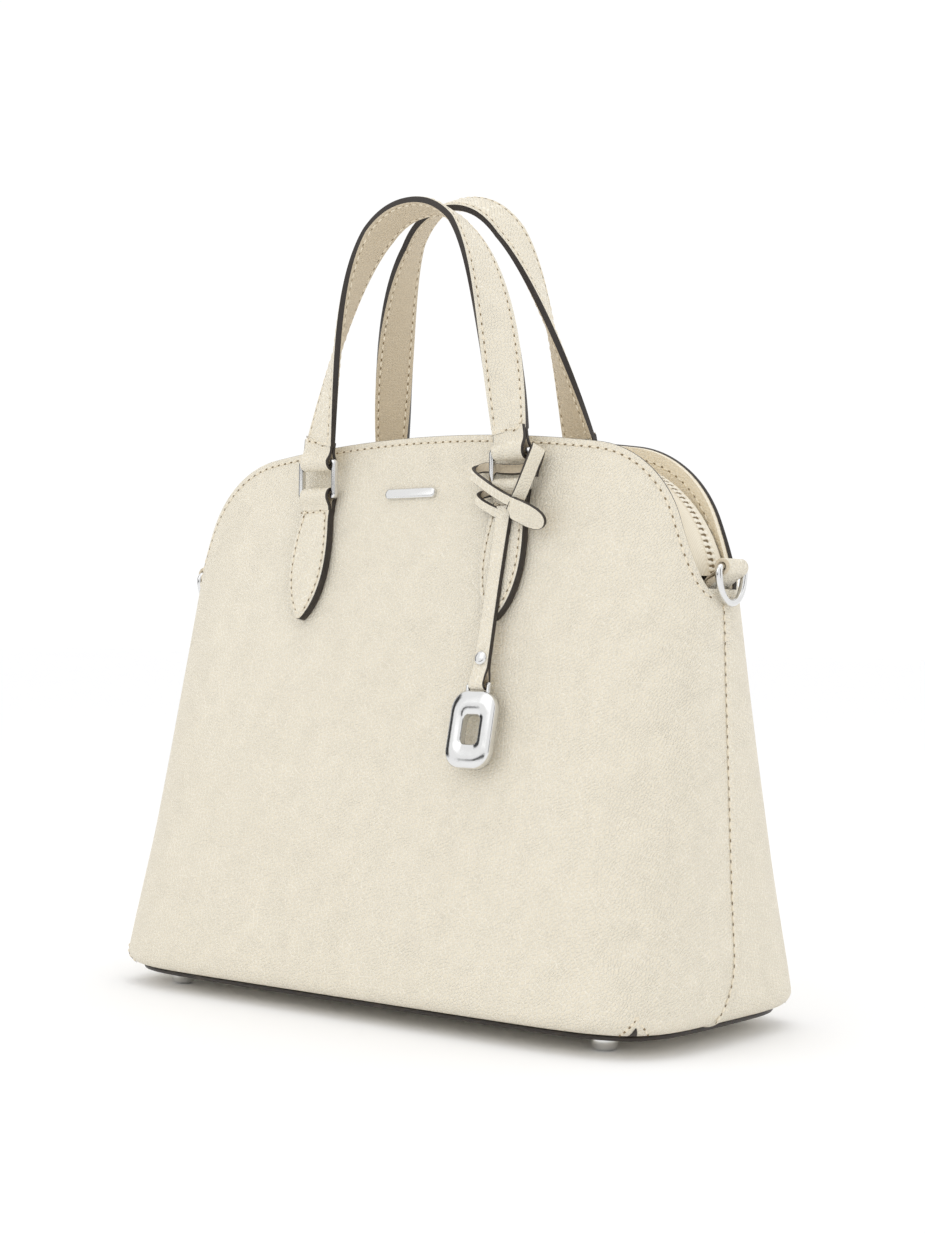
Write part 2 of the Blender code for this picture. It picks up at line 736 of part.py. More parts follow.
def make_puller(pivot, rest):
    """Flat puller whose end bar lies in the slider's arch."""
    half_bar = PULLER_BAR / 2
    outer = rounded_outline(half_bar - PULLER_LENGTH, half_bar, -PULLER_WIDTH / 2, PULLER_WIDTH / 2, half_bar, 2)
    hole = rounded_outline(-half_bar - PULLER_HOLE_LENGTH, -half_bar, -PULLER_HOLE_WIDTH / 2,
                           PULLER_HOLE_WIDTH / 2, half_bar / 2, 2)
    plate = framed_plate(outer, hole, -half_bar, half_bar, flat_point)
    add_object("zip_puller", plate, METAL_LOOK, pivot, rest)


def ring_pivot(side_x, face):
    """Axis of a ring's lower bar, held off the panel by its chape."""
    x = side_x * HANDLE_SPACING / 2
    surface = Vector((x, depth_at(x, RING_PIVOT_HEIGHT), RING_PIVOT_HEIGHT))
    off = (EYE_RADIUS + FIT_GAP) / math.cos(PANEL_LEAN)
    return Vector((x, face * (surface.y + off), RING_PIVOT_HEIGHT))


def make_ring(name, pivot):
    """Rectangular metal ring that turns on its lower bar."""
    outer_x = RING_WINDOW_WIDTH / 2 + RING_BAR_HEIGHT
    low = -RING_BAR_HEIGHT / 2
    high = RING_RISE + RING_BAR_HEIGHT / 2
    outer = rounded_outline(-outer_x, outer_x, low, high, RING_CORNER, 2)
    window = rounded_outline(-RING_WINDOW_WIDTH / 2, RING_WINDOW_WIDTH / 2, low + RING_BAR_HEIGHT,
                             high - RING_BAR_HEIGHT, RING_CORNER / 4, 2)
    source = framed_plate(outer, window, -RING_BAR_DEPTH / 2, RING_BAR_DEPTH / 2, front_point)
    item = add_object(name, source, METAL_LOOK, pivot)
    add_bevel(item, RING_EDGE)


def tangent_angle(corner, radius, turn):
    """Angle on the eye's circle where the line from a corner touches it."""
    bearing = math.atan2(corner[1], corner[0])
    return bearing + turn * math.acos(min(radius / math.hypot(*corner), 1))


def eye_outline(radius, corners, steps):
    """Outline of a strap end: an eye round the origin, then the corners of its tongue in order."""
    first = tangent_angle(corners[-1], radius, 1)
    last = tangent_angle(corners[0], radius, -1)
    while last < first:
        last += 2 * math.pi
    points = []
    for step in range(steps + 1):
        angle = first + (last - first) * step / steps
        points.append((radius * math.cos(angle), radius * math.sin(angle)))
    return points + list(corners)


def make_chape(name, pivot, face):
    """Leaf-shaped leather chape: an eye round the ring's lower bar and a tongue down the panel."""
    back = -EYE_RADIUS
    front = back + CHAPE_THICKNESS
    corners = ((-CHAPE_SHOULDER, front), (-CHAPE_LENGTH, front), (-CHAPE_LENGTH, back))
    points = [(face * out, rise) for rise, out in eye_outline(EYE_RADIUS, corners, FINE_STEPS)]
    tilt = Matrix.Rotation(face * PANEL_LEAN, 3, "X")
    side = extrude_outline(points, -CHAPE_WIDTH / 2, CHAPE_WIDTH / 2, side_point)
    item = add_object(name, side, LEATHER_LOOK, pivot, tilt)
    span = CHAPE_LENGTH + EYE_RADIUS
    right = [(CHAPE_WIDTH / 2 * width, EYE_RADIUS - span * drop) for drop, width in CHAPE_OUTLINE_SHARES]
    right[0] = (right[0][0], 2 * EYE_RADIUS)
    leaf = right + [(-x, z) for x, z in reversed(right)]
    reach = 2 * EYE_RADIUS
    blank = extrude_outline(leaf, -reach, reach, front_point)
    add_boolean(item, add_cutter(f"{name}_blank", blank, pivot, tilt), "INTERSECT")
    bore = cylinder(EYE_HOLE_RADIUS, -CHAPE_WIDTH, CHAPE_WIDTH, ROUND_STEPS, "X")
    add_boolean(item, add_cutter(f"{name}_bore", bore, pivot, tilt), "DIFFERENCE")


def strap_section(width, thickness, edge):
    """Outline across a flat strap with rounded edges."""
    half_width = width / 2
    half = thickness / 2
    return (
        (half_width, half - edge), (half_width - edge, half), (edge - half_width, half), (-half_width, half - edge),
        (-half_width, edge - half), (edge - half_width, -half), (half_width - edge, -half), (half_width, edge - half),
    )


def handle_path(reach):
    """Centre line of a handle in its own upright plane, from its left ring's bar to its right one."""
    foot = Vector((HANDLE_SPACING / 2, 0, EYE_HOLE_RADIUS + EYE_WALL / 2))
    crown = Vector((0, 0, reach))
    rise = Vector((-math.sin(LEG_LEAN), 0, math.cos(LEG_LEAN))) * reach * LEG_REACH_SHARE
    half = interpolate_bezier(foot, foot + rise, crown + Vector((reach * CROWN_REACH_SHARE, 0, 0)), crown, HANDLE_STEPS)
    left = [Vector((-point.x, 0, point.z)) for point in half]
    return left + list(reversed(half))[1:]


def strap_lengths(path):
    """Distance travelled along a path at each of its points."""
    lengths = [0.0]
    for first, second in zip(path, path[1:]):
        lengths.append(lengths[-1] + (second - first).length)
    return lengths


def sweep_strap(path, face):
    """Flat strap swept along a handle, facing outwards at the rings and turning upwards at the crown."""
    lengths = strap_lengths(path)
    source = bmesh.new()
    rings = []
    section = strap_section(STRAP_WIDTH, STRAP_THICKNESS, STRAP_EDGE)
    for index, point in enumerate(path):
        before = path[max(index - 1, 0)]
        after = path[min(index + 1, len(path) - 1)]
        along = (after - before).normalized()
        if index in (0, len(path) - 1):
            along = Vector((0, 0, 1 if index == 0 else -1))
        outwards = Vector((0, face, 0))
        upwards = along.cross(outwards) * face
        travelled = min(lengths[index], lengths[-1] - lengths[index])
        turn = CROWN_TURN * min(travelled / TWIST_LENGTH, 1)
        normal = outwards * math.cos(turn) + upwards * math.sin(turn)
        across = normal.cross(along)
        rings.append([source.verts.new(point + across * a + normal * b) for a, b in section])
    for low, high in zip(rings, rings[1:]):
        for index in range(len(low)):
            following = (index + 1) % len(low)
            source.faces.new((low[index], low[following], high[following], high[index]))
    source.faces.new(rings[0])
    source.faces.new(rings[-1])
    return source


def make_handle(name, face, reach, lean):
    """Carrying handle: a twisted strap with an eye at each end round its ring's upper bar."""
    ring_top = ring_pivot(-1, face) + Vector((0, 0, RING_RISE))
    hinge = Vector((0, ring_top.y, ring_top.z))
    tilt = Matrix.Rotation(face * lean, 3, "X")
    item = add_object(name, sweep_strap(handle_path(reach), face), LEATHER_LOOK, hinge, tilt)
    half = STRAP_WIDTH / 2
    for side_name, side in (("left", -1), ("right", 1)):
        place = hinge + Vector((side * HANDLE_SPACING / 2, 0, 0))
        eye = cylinder(EYE_RADIUS, -half, half, ROUND_STEPS, "X")
        add_boolean(item, add_cutter(f"{name}_{side_name}_eye", eye, place, tilt), "UNION")
        bore = cylinder(EYE_HOLE_RADIUS, -2 * half, 2 * half, ROUND_STEPS, "X")
        add_boolean(item, add_cutter(f"{name}_{side_name}_bore", bore, place, tilt), "DIFFERENCE")
    shade_round(item)


def make_carriers():
    """Four chapes with their rings, and the two handles."""
    handles = (
        ("front", -1, FRONT_HANDLE_REACH, FRONT_HANDLE_LEAN),
        ("back", 1, BACK_HANDLE_REACH, BACK_HANDLE_LEAN),
    )
    for face_name, face, reach, lean in handles:
        for side_name, side in (("left", -1), ("right", 1)):
            pivot = ring_pivot(side, face)
            make_ring(f"{face_name}_{side_name}_ring", pivot)
            make_chape(f"{face_name}_{side_name}_chape", pivot, face)
        make_handle(f"{face_name}_handle", face, reach, lean)


def d_ring_pivot(side):
    """Axis of a D-ring's straight bar, just outside the top of an end."""
    x = END_WIDTH / 2 + D_STAND_OFF
    return Vector((side * x, 0, END_HEIGHT + D_PIVOT_RISE))


def make_d_ring(name, side):
    """Bent wire D: a straight bar along Y and a bow that hangs down."""
    half = (D_INNER_WIDTH + D_WIRE) / 2
    points = []
    for centre_y, first in ((half - D_CORNER, 0), (D_CORNER - half, 1)):
        for step in range(4):
            angle = math.pi / 2 * (first + step / 3)
            points.append((centre_y + D_CORNER * math.cos(angle), D_CORNER * math.sin(angle) - D_CORNER))
    for step in range(1, FINE_STEPS):
        angle = math.pi * (1 + step / FINE_STEPS)
        points.append((half * math.cos(angle), -D_CORNER + (D_DROP - D_CORNER) * math.sin(angle)))
    curve = bpy.data.curves.new(name, "CURVE")
    curve.dimensions = "3D"
    spline = curve.splines.new("POLY")
    spline.points.add(len(points) - 1)
    for point, (y, z) in zip(spline.points, points):
        point.co = (0, y, z, 1)
    spline.use_cyclic_u = True
    curve.bevel_depth = D_WIRE / 2
    curve.bevel_resolution = 2
    item = bpy.data.objects.new(name, curve)
    bpy.context.collection.objects.link(item)
    curve.materials.append(make_material(name, *METAL_LOOK))
    item.location = d_ring_pivot(side)
    return item


def make_end_tab(name, side):
    """Leather loop round a D-ring's bar, sewn in behind the top edge of an end."""
    pivot = d_ring_pivot(side)
    hole = D_WIRE / 2 + RUNNING_GAP
    radius = hole + EYE_WALL
    outer = END_WIDTH / 2 - PANEL_THICKNESS - 2 * CLOTH_GAP - pivot.x * side
    inner = outer - TAB_THICKNESS
    sill = FIT_GAP - D_PIVOT_RISE
    root = -D_PIVOT_RISE - TAB_ROOT_DROP
    corners = ((inner, sill + TAB_THICKNESS), (inner, root), (outer, root), (outer, sill))
    points = [(side * x, z) for x, z in eye_outline(radius, corners, FINE_STEPS)]
    half = D_INNER_WIDTH / 2 - TAB_SIDE_GAP
    item = add_object(name, extrude_outline(points, -half, half, front_point), LEATHER_LOOK, pivot)
    bore = cylinder(hole, -2 * half, 2 * half, ROUND_STEPS, "Y")
    add_boolean(item, add_cutter(f"{name}_bore", bore, pivot), "DIFFERENCE")


def make_ends():
    """Both end loops with their D-rings."""
    for side_name, side in (("left", -1), ("right", 1)):
        make_d_ring(f"{side_name}_d_ring", side)
        make_end_tab(f"{side_name}_end_tab", side)


def charm_frame():
    """Place and tilt of the hanging tag: along the front panel, below the front right ring."""
    pivot = ring_pivot(1, -1)
    tilt = Matrix.Rotation(-PANEL_LEAN, 3, "X")
    return pivot, tilt


def make_charm():
    """Band round the chape, hanging strap, rivet and metal tag."""
    pivot, tilt = charm_frame()
    wrap_back = -EYE_RADIUS - FIT_GAP
    wrap_front = wrap_back - WRAP_THICKNESS
    side = CHAPE_WIDTH / 2 * CHAPE_OUTLINE_SHARES[0][1] + WRAP_SIDE_GAP
    tuck = EYE_RADIUS - WRAP_THICKNESS
    outline = [
        (-side, tuck), (-side, wrap_back), (side + WRAP_TAIL, wrap_back), (side + WRAP_TAIL, wrap_front),
        (-side - WRAP_THICKNESS / 2, wrap_front), (-side - WRAP_THICKNESS, wrap_front + WRAP_THICKNESS / 2),
        (-side - WRAP_THICKNESS, tuck),
    ]
    band = extrude_outline(outline, -WRAP_WIDTH / 2, WRAP_WIDTH / 2, flat_point)
    turn = Matrix.Rotation(WRAP_TILT, 3, "Y")
    place = pivot + tilt @ Vector((0, 0, -WRAP_DROP))
    add_object("charm_band", band, LEATHER_LOOK, place, tilt @ turn)
    strap_y = EYE_RADIUS - CHAPE_THICKNESS - FIT_GAP - CHARM_THICKNESS / 2
    droop = (WRAP_WIDTH / 2 + FIT_GAP) / math.cos(WRAP_TILT) + CHARM_WIDTH / 2 / math.cos(WRAP_TILT)
    hinge = pivot + tilt @ Vector((0, strap_y, -WRAP_DROP - droop))
    make_charm_strap(hinge, tilt)


def make_charm_strap(hinge, tilt):
    """Strap folded round the tag's bail, with the rivet through both layers."""
    bar_sweep = BAIL_BAR * math.sqrt(2) / 2
    hole = bar_sweep + RUNNING_GAP
    radius = hole + CHARM_EYE_WALL
    half = CHARM_THICKNESS / 2
    neck = 3 * radius
    corners = ((half, neck), (half, CHARM_LENGTH + CHARM_WIDTH / 2), (-half, CHARM_LENGTH + CHARM_WIDTH / 2),
               (-half, neck))
    profile = eye_outline(radius, [(y, z) for y, z in corners], FINE_STEPS)
    eye_place = hinge + tilt @ Vector((0, 0, -CHARM_LENGTH))
    solid = extrude_outline([(y, z - CHARM_LENGTH) for y, z in profile], -CHARM_WIDTH / 2, CHARM_WIDTH / 2, side_point)
    strap = add_object("charm_strap", solid, LEATHER_LOOK, hinge, tilt)
    blank_points = []
    for step in range(FINE_STEPS + 1):
        angle = math.pi * step / FINE_STEPS
        blank_points.append((CHARM_WIDTH / 2 * math.cos(angle), CHARM_WIDTH / 2 * math.sin(angle)))
    low = -CHARM_LENGTH - 2 * radius
    blank_points += [(-CHARM_WIDTH / 2, low), (CHARM_WIDTH / 2, low)]
    blank = extrude_outline(blank_points, -2 * radius, 2 * radius, front_point)
    add_boolean(strap, add_cutter("charm_strap_blank", blank, hinge, tilt), "INTERSECT")
    bore = cylinder(hole, -CHARM_WIDTH, CHARM_WIDTH, FINE_STEPS, "X")
    add_boolean(strap, add_cutter("charm_strap_bore", bore, eye_place, tilt), "DIFFERENCE")
    rivet_place = eye_place + tilt @ Vector((0, 0, RIVET_RISE))
    drill = cylinder(RIVET_SHANK_RADIUS + RUNNING_GAP, -CHARM_THICKNESS, CHARM_THICKNESS, FINE_STEPS, "Y")
    add_boolean(strap, add_cutter("charm_strap_drill", drill, rivet_place, tilt), "DIFFERENCE")
    make_rivet(rivet_place, tilt)
    make_tag(eye_place, tilt)


def make_rivet(place, tilt):
    """Double-capped rivet through the strap."""
    inner = CHARM_THICKNESS / 2 + FIT_GAP
    outer = inner + RIVET_HEAD_THICKNESS
    mid = inner + RIVET_HEAD_THICKNESS * 0.6
    profile = (
        (0, -outer), (RIVET_HEAD_RADIUS * 0.7, -mid), (RIVET_HEAD_RADIUS, -inner), (RIVET_SHANK_RADIUS, -inner),
        (RIVET_SHANK_RADIUS, inner), (RIVET_HEAD_RADIUS, inner), (RIVET_HEAD_RADIUS * 0.7, mid), (0, outer),
    )
    source = lathe(profile, FINE_STEPS)
    bmesh.ops.rotate(source, verts=source.verts, cent=(0, 0, 0), matrix=Matrix.Rotation(math.pi / 2, 3, "X"))
    shade_round(add_object("charm_rivet", source, METAL_LOOK, place, tilt))


def make_tag(place, tilt):
    """Metal tag: a rounded plate with a window, hung from a narrow bail."""
    bar = BAIL_BAR / 2
    bar_sweep = BAIL_BAR * math.sqrt(2) / 2
    eye = bar_sweep + RUNNING_GAP + CHARM_EYE_WALL
    shoulder = -eye - FIT_GAP - RUNNING_GAP
    foot = shoulder - TAG_HEIGHT
    middle = (shoulder + foot) / 2
    outer = rounded_outline(-TAG_WIDTH / 2, TAG_WIDTH / 2, foot, shoulder, TAG_CORNER, 4)
    window = rounded_outline(-TAG_WINDOW_WIDTH / 2, TAG_WINDOW_WIDTH / 2, middle - TAG_WINDOW_HEIGHT / 2,
                             middle + TAG_WINDOW_HEIGHT / 2, TAG_WINDOW_WIDTH / 4, 4)
    plate = framed_plate(outer, window, -TAG_THICKNESS / 2, TAG_THICKNESS / 2, front_point)
    item = add_object("charm_tag", plate, METAL_LOOK, place, tilt)
    slot = CHARM_WIDTH / 2 + RING_SIDE_GAP
    side = slot + BAIL_SIDE
    sunk = shoulder - TAG_CORNER / 4
    bail_points = [(-side, sunk), (-slot, sunk), (-slot, -bar), (slot, -bar), (slot, sunk), (side, sunk),
                   (side, bar), (-side, bar)]
    bail = extrude_outline(bail_points, -bar, bar, front_point)
    add_boolean(item, add_cutter("charm_tag_bail", bail, place, tilt), "UNION")


def build_bag():
    """Make every piece of the bag."""
    clear_scene()
    make_panel("front_panel", -1)
    make_panel("back_panel", 1)
    make_facing("front_facing", -1)
    make_facing("back_facing", 1)
    make_lining()
    make_pocket()
    make_base()
    make_feet()
    make_zip_tape("front_zip_tape", -1)
    make_zip_tape("back_zip_tape", 1)
    make_slider()
    make_carriers()
    make_ends()
    make_charm()


build_bag()
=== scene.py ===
from math import acos, asin, atan, atan2, copysign, cos, hypot, pi, radians, sin, sqrt, tau

import bmesh
import bpy
from mathutils import Matrix, Vector
from mathutils.geometry import interpolate_bezier
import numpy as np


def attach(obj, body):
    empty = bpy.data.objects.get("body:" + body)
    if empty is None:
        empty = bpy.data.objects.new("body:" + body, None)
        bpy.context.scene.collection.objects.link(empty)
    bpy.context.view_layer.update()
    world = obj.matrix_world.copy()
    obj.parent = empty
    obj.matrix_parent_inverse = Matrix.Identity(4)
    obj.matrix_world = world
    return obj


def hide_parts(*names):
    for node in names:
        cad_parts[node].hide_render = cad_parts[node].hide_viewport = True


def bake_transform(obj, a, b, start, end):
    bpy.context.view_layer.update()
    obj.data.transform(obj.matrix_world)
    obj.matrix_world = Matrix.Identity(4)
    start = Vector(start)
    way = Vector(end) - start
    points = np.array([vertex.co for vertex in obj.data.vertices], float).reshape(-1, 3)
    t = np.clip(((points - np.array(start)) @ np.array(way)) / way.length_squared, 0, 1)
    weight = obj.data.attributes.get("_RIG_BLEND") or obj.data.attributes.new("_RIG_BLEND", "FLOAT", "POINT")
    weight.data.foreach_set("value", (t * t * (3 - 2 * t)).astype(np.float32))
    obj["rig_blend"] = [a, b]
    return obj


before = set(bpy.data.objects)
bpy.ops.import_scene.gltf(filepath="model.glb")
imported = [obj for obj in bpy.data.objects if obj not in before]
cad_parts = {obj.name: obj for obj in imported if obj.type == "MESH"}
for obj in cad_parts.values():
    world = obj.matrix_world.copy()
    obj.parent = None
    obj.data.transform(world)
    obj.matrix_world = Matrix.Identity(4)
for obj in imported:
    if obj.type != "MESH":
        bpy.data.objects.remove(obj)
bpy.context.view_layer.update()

# View of the bag
# A catalogue view with a long lens: the front and the right end show, seen level from the middle
# of the bag's height. The height of the picture is the long side of a 36 mm film frame.
VIEW_TURN, VIEW_PITCH, VIEW_ROLL = radians(39.114), radians(0.702), radians(0.66)
VIEW_PLACE = Vector((0.683752, -0.828292, 0.181415))
FILM_HEIGHT = 36.0
PICTURE_HEIGHT, FOCUS_LENGTH = 1234, 2114.686


def placed(name, data):
    """New object in the scene."""
    item = bpy.data.objects.new(name, data)
    bpy.context.scene.collection.objects.link(item)
    return item


level = Vector((cos(VIEW_TURN), sin(VIEW_TURN), 0))
forward = Vector((-sin(VIEW_TURN) * cos(VIEW_PITCH), cos(VIEW_TURN) * cos(VIEW_PITCH), sin(VIEW_PITCH)))
upright = level.cross(forward)
right_hand = level * cos(VIEW_ROLL) + upright * sin(VIEW_ROLL)
overhead = upright * cos(VIEW_ROLL) - level * sin(VIEW_ROLL)
camera_data = bpy.data.cameras.new("catalogue_camera")
camera_data.sensor_fit = "VERTICAL"
camera_data.sensor_height = FILM_HEIGHT
camera_data.lens = FOCUS_LENGTH * FILM_HEIGHT / PICTURE_HEIGHT
camera_data.clip_start = 0.01
camera = placed("catalogue_camera", camera_data)
camera.matrix_world = Matrix.Translation(VIEW_PLACE) @ Matrix((right_hand, overhead, -forward)).transposed().to_4x4()
bpy.context.scene.camera = camera


# Studio floor and light
# A plain white floor under a white room, as in a catalogue picture. Two large soft lamps stand in
# front of the bag and over it, and a weaker one beyond the right end. Narrow felt cards out of the
# picture give the polished metal dark lines to reflect.
HALF_FLOOR = 30.0
FLOOR_SHADES = (0.965, 0.965, 0.97, 1), (0.975, 0.975, 0.98, 1)
FELT_SHADES = (0.012, 0.012, 0.012, 1), (0.03, 0.03, 0.03, 1)
ROOM_STRENGTH = 1.03
LAMPS = (
    ("front_lamp", (-0.55, -1.55, 1.35), (0.0, 0.0, 0.16), 1.3, 2.4),
    ("top_lamp", (0.15, -0.15, 1.75), (0.0, 0.0, 0.2), 1.4, 2.6),
    ("end_lamp", (1.7, 0.25, 0.75), (0.0, 0.0, 0.18), 1.0, 0.5),
)
CARDS = (
    ("left_card", (-2.60, -0.70, 0.02), radians(80), 1.1, 1.9),
    ("right_card", (2.50, -0.60, 0.02), radians(105), 0.9, 1.9),
    ("low_card", (-1.20, -2.80, 0.02), radians(14), 2.8, 0.42),
)


class Reading:
    """One number that changes over a surface, read from a node's socket."""

    def __init__(self, finish, socket):
        self.finish, self.socket = finish, socket

    def worked(self, operation, first, second=0):
        return self.finish.number("ShaderNodeMath", {"operation": operation}, {0: first, 1: second})

    def __add__(self, other):
        return self.worked("ADD", self, other)

    def __radd__(self, other):
        return self.worked("ADD", other, self)

    def __sub__(self, other):
        return self.worked("SUBTRACT", self, other)

    def __rsub__(self, other):
        return self.worked("SUBTRACT", other, self)

    def __mul__(self, other):
        return self.worked("MULTIPLY", self, other)

    def __rmul__(self, other):
        return self.worked("MULTIPLY", other, self)

    def size(self):
        return self.worked("ABSOLUTE", self)

    def above(self, low):
        return self.worked("MAXIMUM", self, low)

    def below(self, high):
        return self.worked("MINIMUM", self, high)


class Finish:
    """A material, or a plan for repeated pieces, put together node by node."""

    def __init__(self, tree):
        self.tree = tree

    def node(self, kind, settings=(), sockets=()):
        made = self.tree.nodes.new(kind)
        for name, value in dict(settings).items():
            setattr(made, name, value)
        for name, value in dict(sockets).items():
            value = value.socket if isinstance(value, Reading) else value
            if isinstance(value, bpy.types.NodeSocket):
                self.tree.links.new(value, made.inputs[name])
            else:
                made.inputs[name].default_value = value
        return made

    def number(self, kind, settings, sockets, output=0):
        return Reading(self, self.node(kind, settings, sockets).outputs[output])

    def mixed(self, share, first, second):
        """Colour between two colours."""
        return self.node("ShaderNodeMix", {"data_type": "RGBA"}, {0: share, 6: first, 7: second}).outputs[2]

    def noise(self, place, size, detail=2.0, blur=0.5):
        """Soft random reading whose patches have about this size."""
        return self.number("ShaderNodeTexNoise", {},
                           {"Vector": place, "Scale": 1 / size, "Detail": detail, "Roughness": blur})

    def dress(self, colour, height=None, strength=0.6, depth=0.0002, roughness=None):
        """Give the shader a colour, and a relief and a roughness if there are any; hand back the material."""
        self.tree.links.new(colour, self.shader.inputs["Base Color"])
        if height:
            bump = self.node("ShaderNodeBump", {}, {"Strength": strength, "Distance": depth, "Height": height})
            self.tree.links.new(bump.outputs[0], self.shader.inputs["Normal"])
        if roughness:
            self.tree.links.new(roughness.socket, self.shader.inputs["Roughness"])
        return self.material


def linear(red, green, blue):
    """Colour as mixed light from the three numbers of a picture, 0 to 255."""
    return tuple(((c / 255 + 0.055) / 1.055) ** 2.4 for c in (red, green, blue)) + (1.0,)


def start_finish(name, roughness, metallic=0.0):
    """New material with its shader, ready for its nodes, and the place on the object."""
    material = bpy.data.materials.new(name)
    material.use_nodes = True
    finish = Finish(material.node_tree)
    finish.material, finish.shader = material, material.node_tree.nodes["Principled BSDF"]
    finish.shader.inputs["Roughness"].default_value = roughness
    finish.shader.inputs["Metallic"].default_value = metallic
    return finish, finish.node("ShaderNodeTexCoord").outputs["Object"]


def speckled(name, roughness, first, second, size, detail=2.0, blur=0.5, strength=0.0, depth=0.0002):
    """Material between two shades, speckled at one size, with a relief if that has a strength."""
    finish, place = start_finish(name, roughness)
    speck = finish.noise(place, size, detail, blur)
    return finish.dress(finish.mixed(speck, first, second), speck if strength else None, strength, depth)


def studio_sheet(name, corners, material):
    """Four-cornered sheet that belongs to the studio."""
    mesh = bpy.data.meshes.new(name)
    mesh.from_pydata(corners, [], [(0, 1, 2, 3)])
    mesh.materials.append(material)
    item = placed(name, mesh)
    return item


studio_sheet("studio_floor", [(x * HALF_FLOOR, y * HALF_FLOOR, 0) for x, y in ((-1, -1), (1, -1), (1, 1), (-1, 1))],
             speckled("studio_floor_paint", 0.85, *FLOOR_SHADES, 0.6, 3.0))
room = bpy.data.worlds.new("white_room")
room.use_nodes = True
room.node_tree.nodes["Background"].inputs["Color"].default_value = (1, 1, 1, 1)
room.node_tree.nodes["Background"].inputs["Strength"].default_value = ROOM_STRENGTH
bpy.context.scene.world = room
bpy.context.scene.view_settings.view_transform = "Standard"

for card_name, card_place, card_turn, card_width, card_height in CARDS:
    foot, side = Vector(card_place), Vector((cos(card_turn), sin(card_turn), 0)) * card_width / 2
    top = foot + Vector((0, 0, card_height))
    card = studio_sheet(card_name, [foot - side, foot + side, top + side, top - side],
                        speckled(card_name + "_felt", 0.95, *FELT_SHADES, 0.01))
    card.visible_camera = card.visible_diffuse = card.visible_shadow = False

for lamp_name, lamp_place, lamp_target, lamp_size, lamp_power in LAMPS:
    lamp_data = bpy.data.lights.new(lamp_name, "AREA")
    lamp_data.shape, lamp_data.size, lamp_data.energy = "SQUARE", lamp_size, lamp_power
    lamp = placed(lamp_name, lamp_data)
    lamp.location = lamp_place
    lamp.rotation_euler = (Vector(lamp_target) - Vector(lamp_place)).to_track_quat("-Z", "Y").to_euler()


# Front and back leather panels
# Two big pieces of pebbled cowhide, stiffened behind, rolled in at the base and cut to one dome at
# the top. The front one laps over the back one at each end seam. All cut edges are painted brown.
BASE_WIDTH, BASE_DEPTH = 0.3503, 0.1613
BODY_HEIGHT, MOUTH_DEPTH = 0.2845, 0.0365
END_INSET, END_HEIGHT, END_SPAN = 0.00985, 0.2075, 0.024
BASE_POWERS, TOP_POWERS = (9.5, 4.7), (3.2, 2.65)
TOP_ARC_RADIUS, SHOULDER_SPAN, SHOULDER_RADIUS = 0.763, 0.0595, 0.0580125
PANEL_FOOT, PANEL_THICKNESS = 0.0100, 0.0024
BOTTOM_ROLL, BOTTOM_FLANGE = 0.008, 0.007
SEAM_LAP, LAP_RISE, LAP_GAP = 0.0026, 0.0008, 0.0001
SEAM_SWEEP, SEAM_SWEEP_TOP = 0.018, 0.043
JOIN_GAP = 0.00015
EDGE_ROUNDING, CROWN_SHARES, ROUNDED_SHARE = 0.0003, (0.22, 0.78), 0.12
ROLL_SHARES, INNER_BEND = (0.0, 0.04, 0.14, 0.30, 0.52, 0.76, 1.0), (0.3, 0.6, 0.85)
PANEL_STEPS, SEAM_STEPS, WALL_STEPS = (26, 22, 14), 14, 44
SOFT_FOOT, SOFT_TOP, SOFT_DEPTH = 0.03, 0.185, 0.0006
END_WIDTH = BASE_WIDTH - 2 * END_INSET
ARC_CENTRE_Z = BODY_HEIGHT - TOP_ARC_RADIUS
TOP_ARC_ANGLE = asin((END_WIDTH - 2 * SHOULDER_SPAN) / 2 / TOP_ARC_RADIUS)
# CREAM_LIGHT colours the net between the pebbles: printed tone and painted highlight on their edges.
CREAM, CREAM_LIGHT = (227, 218, 198), (250, 244, 229)
EDGE_BROWN, EDGE_WORN = (43, 36, 31), (78, 68, 59)
GRAIN, GRAIN_SLANT = 0.0022, 0.35
FRONT, BACK = -1, 1
FACES = (("front", FRONT), ("back", BACK))
SIDES = (("left", -1), ("right", 1))


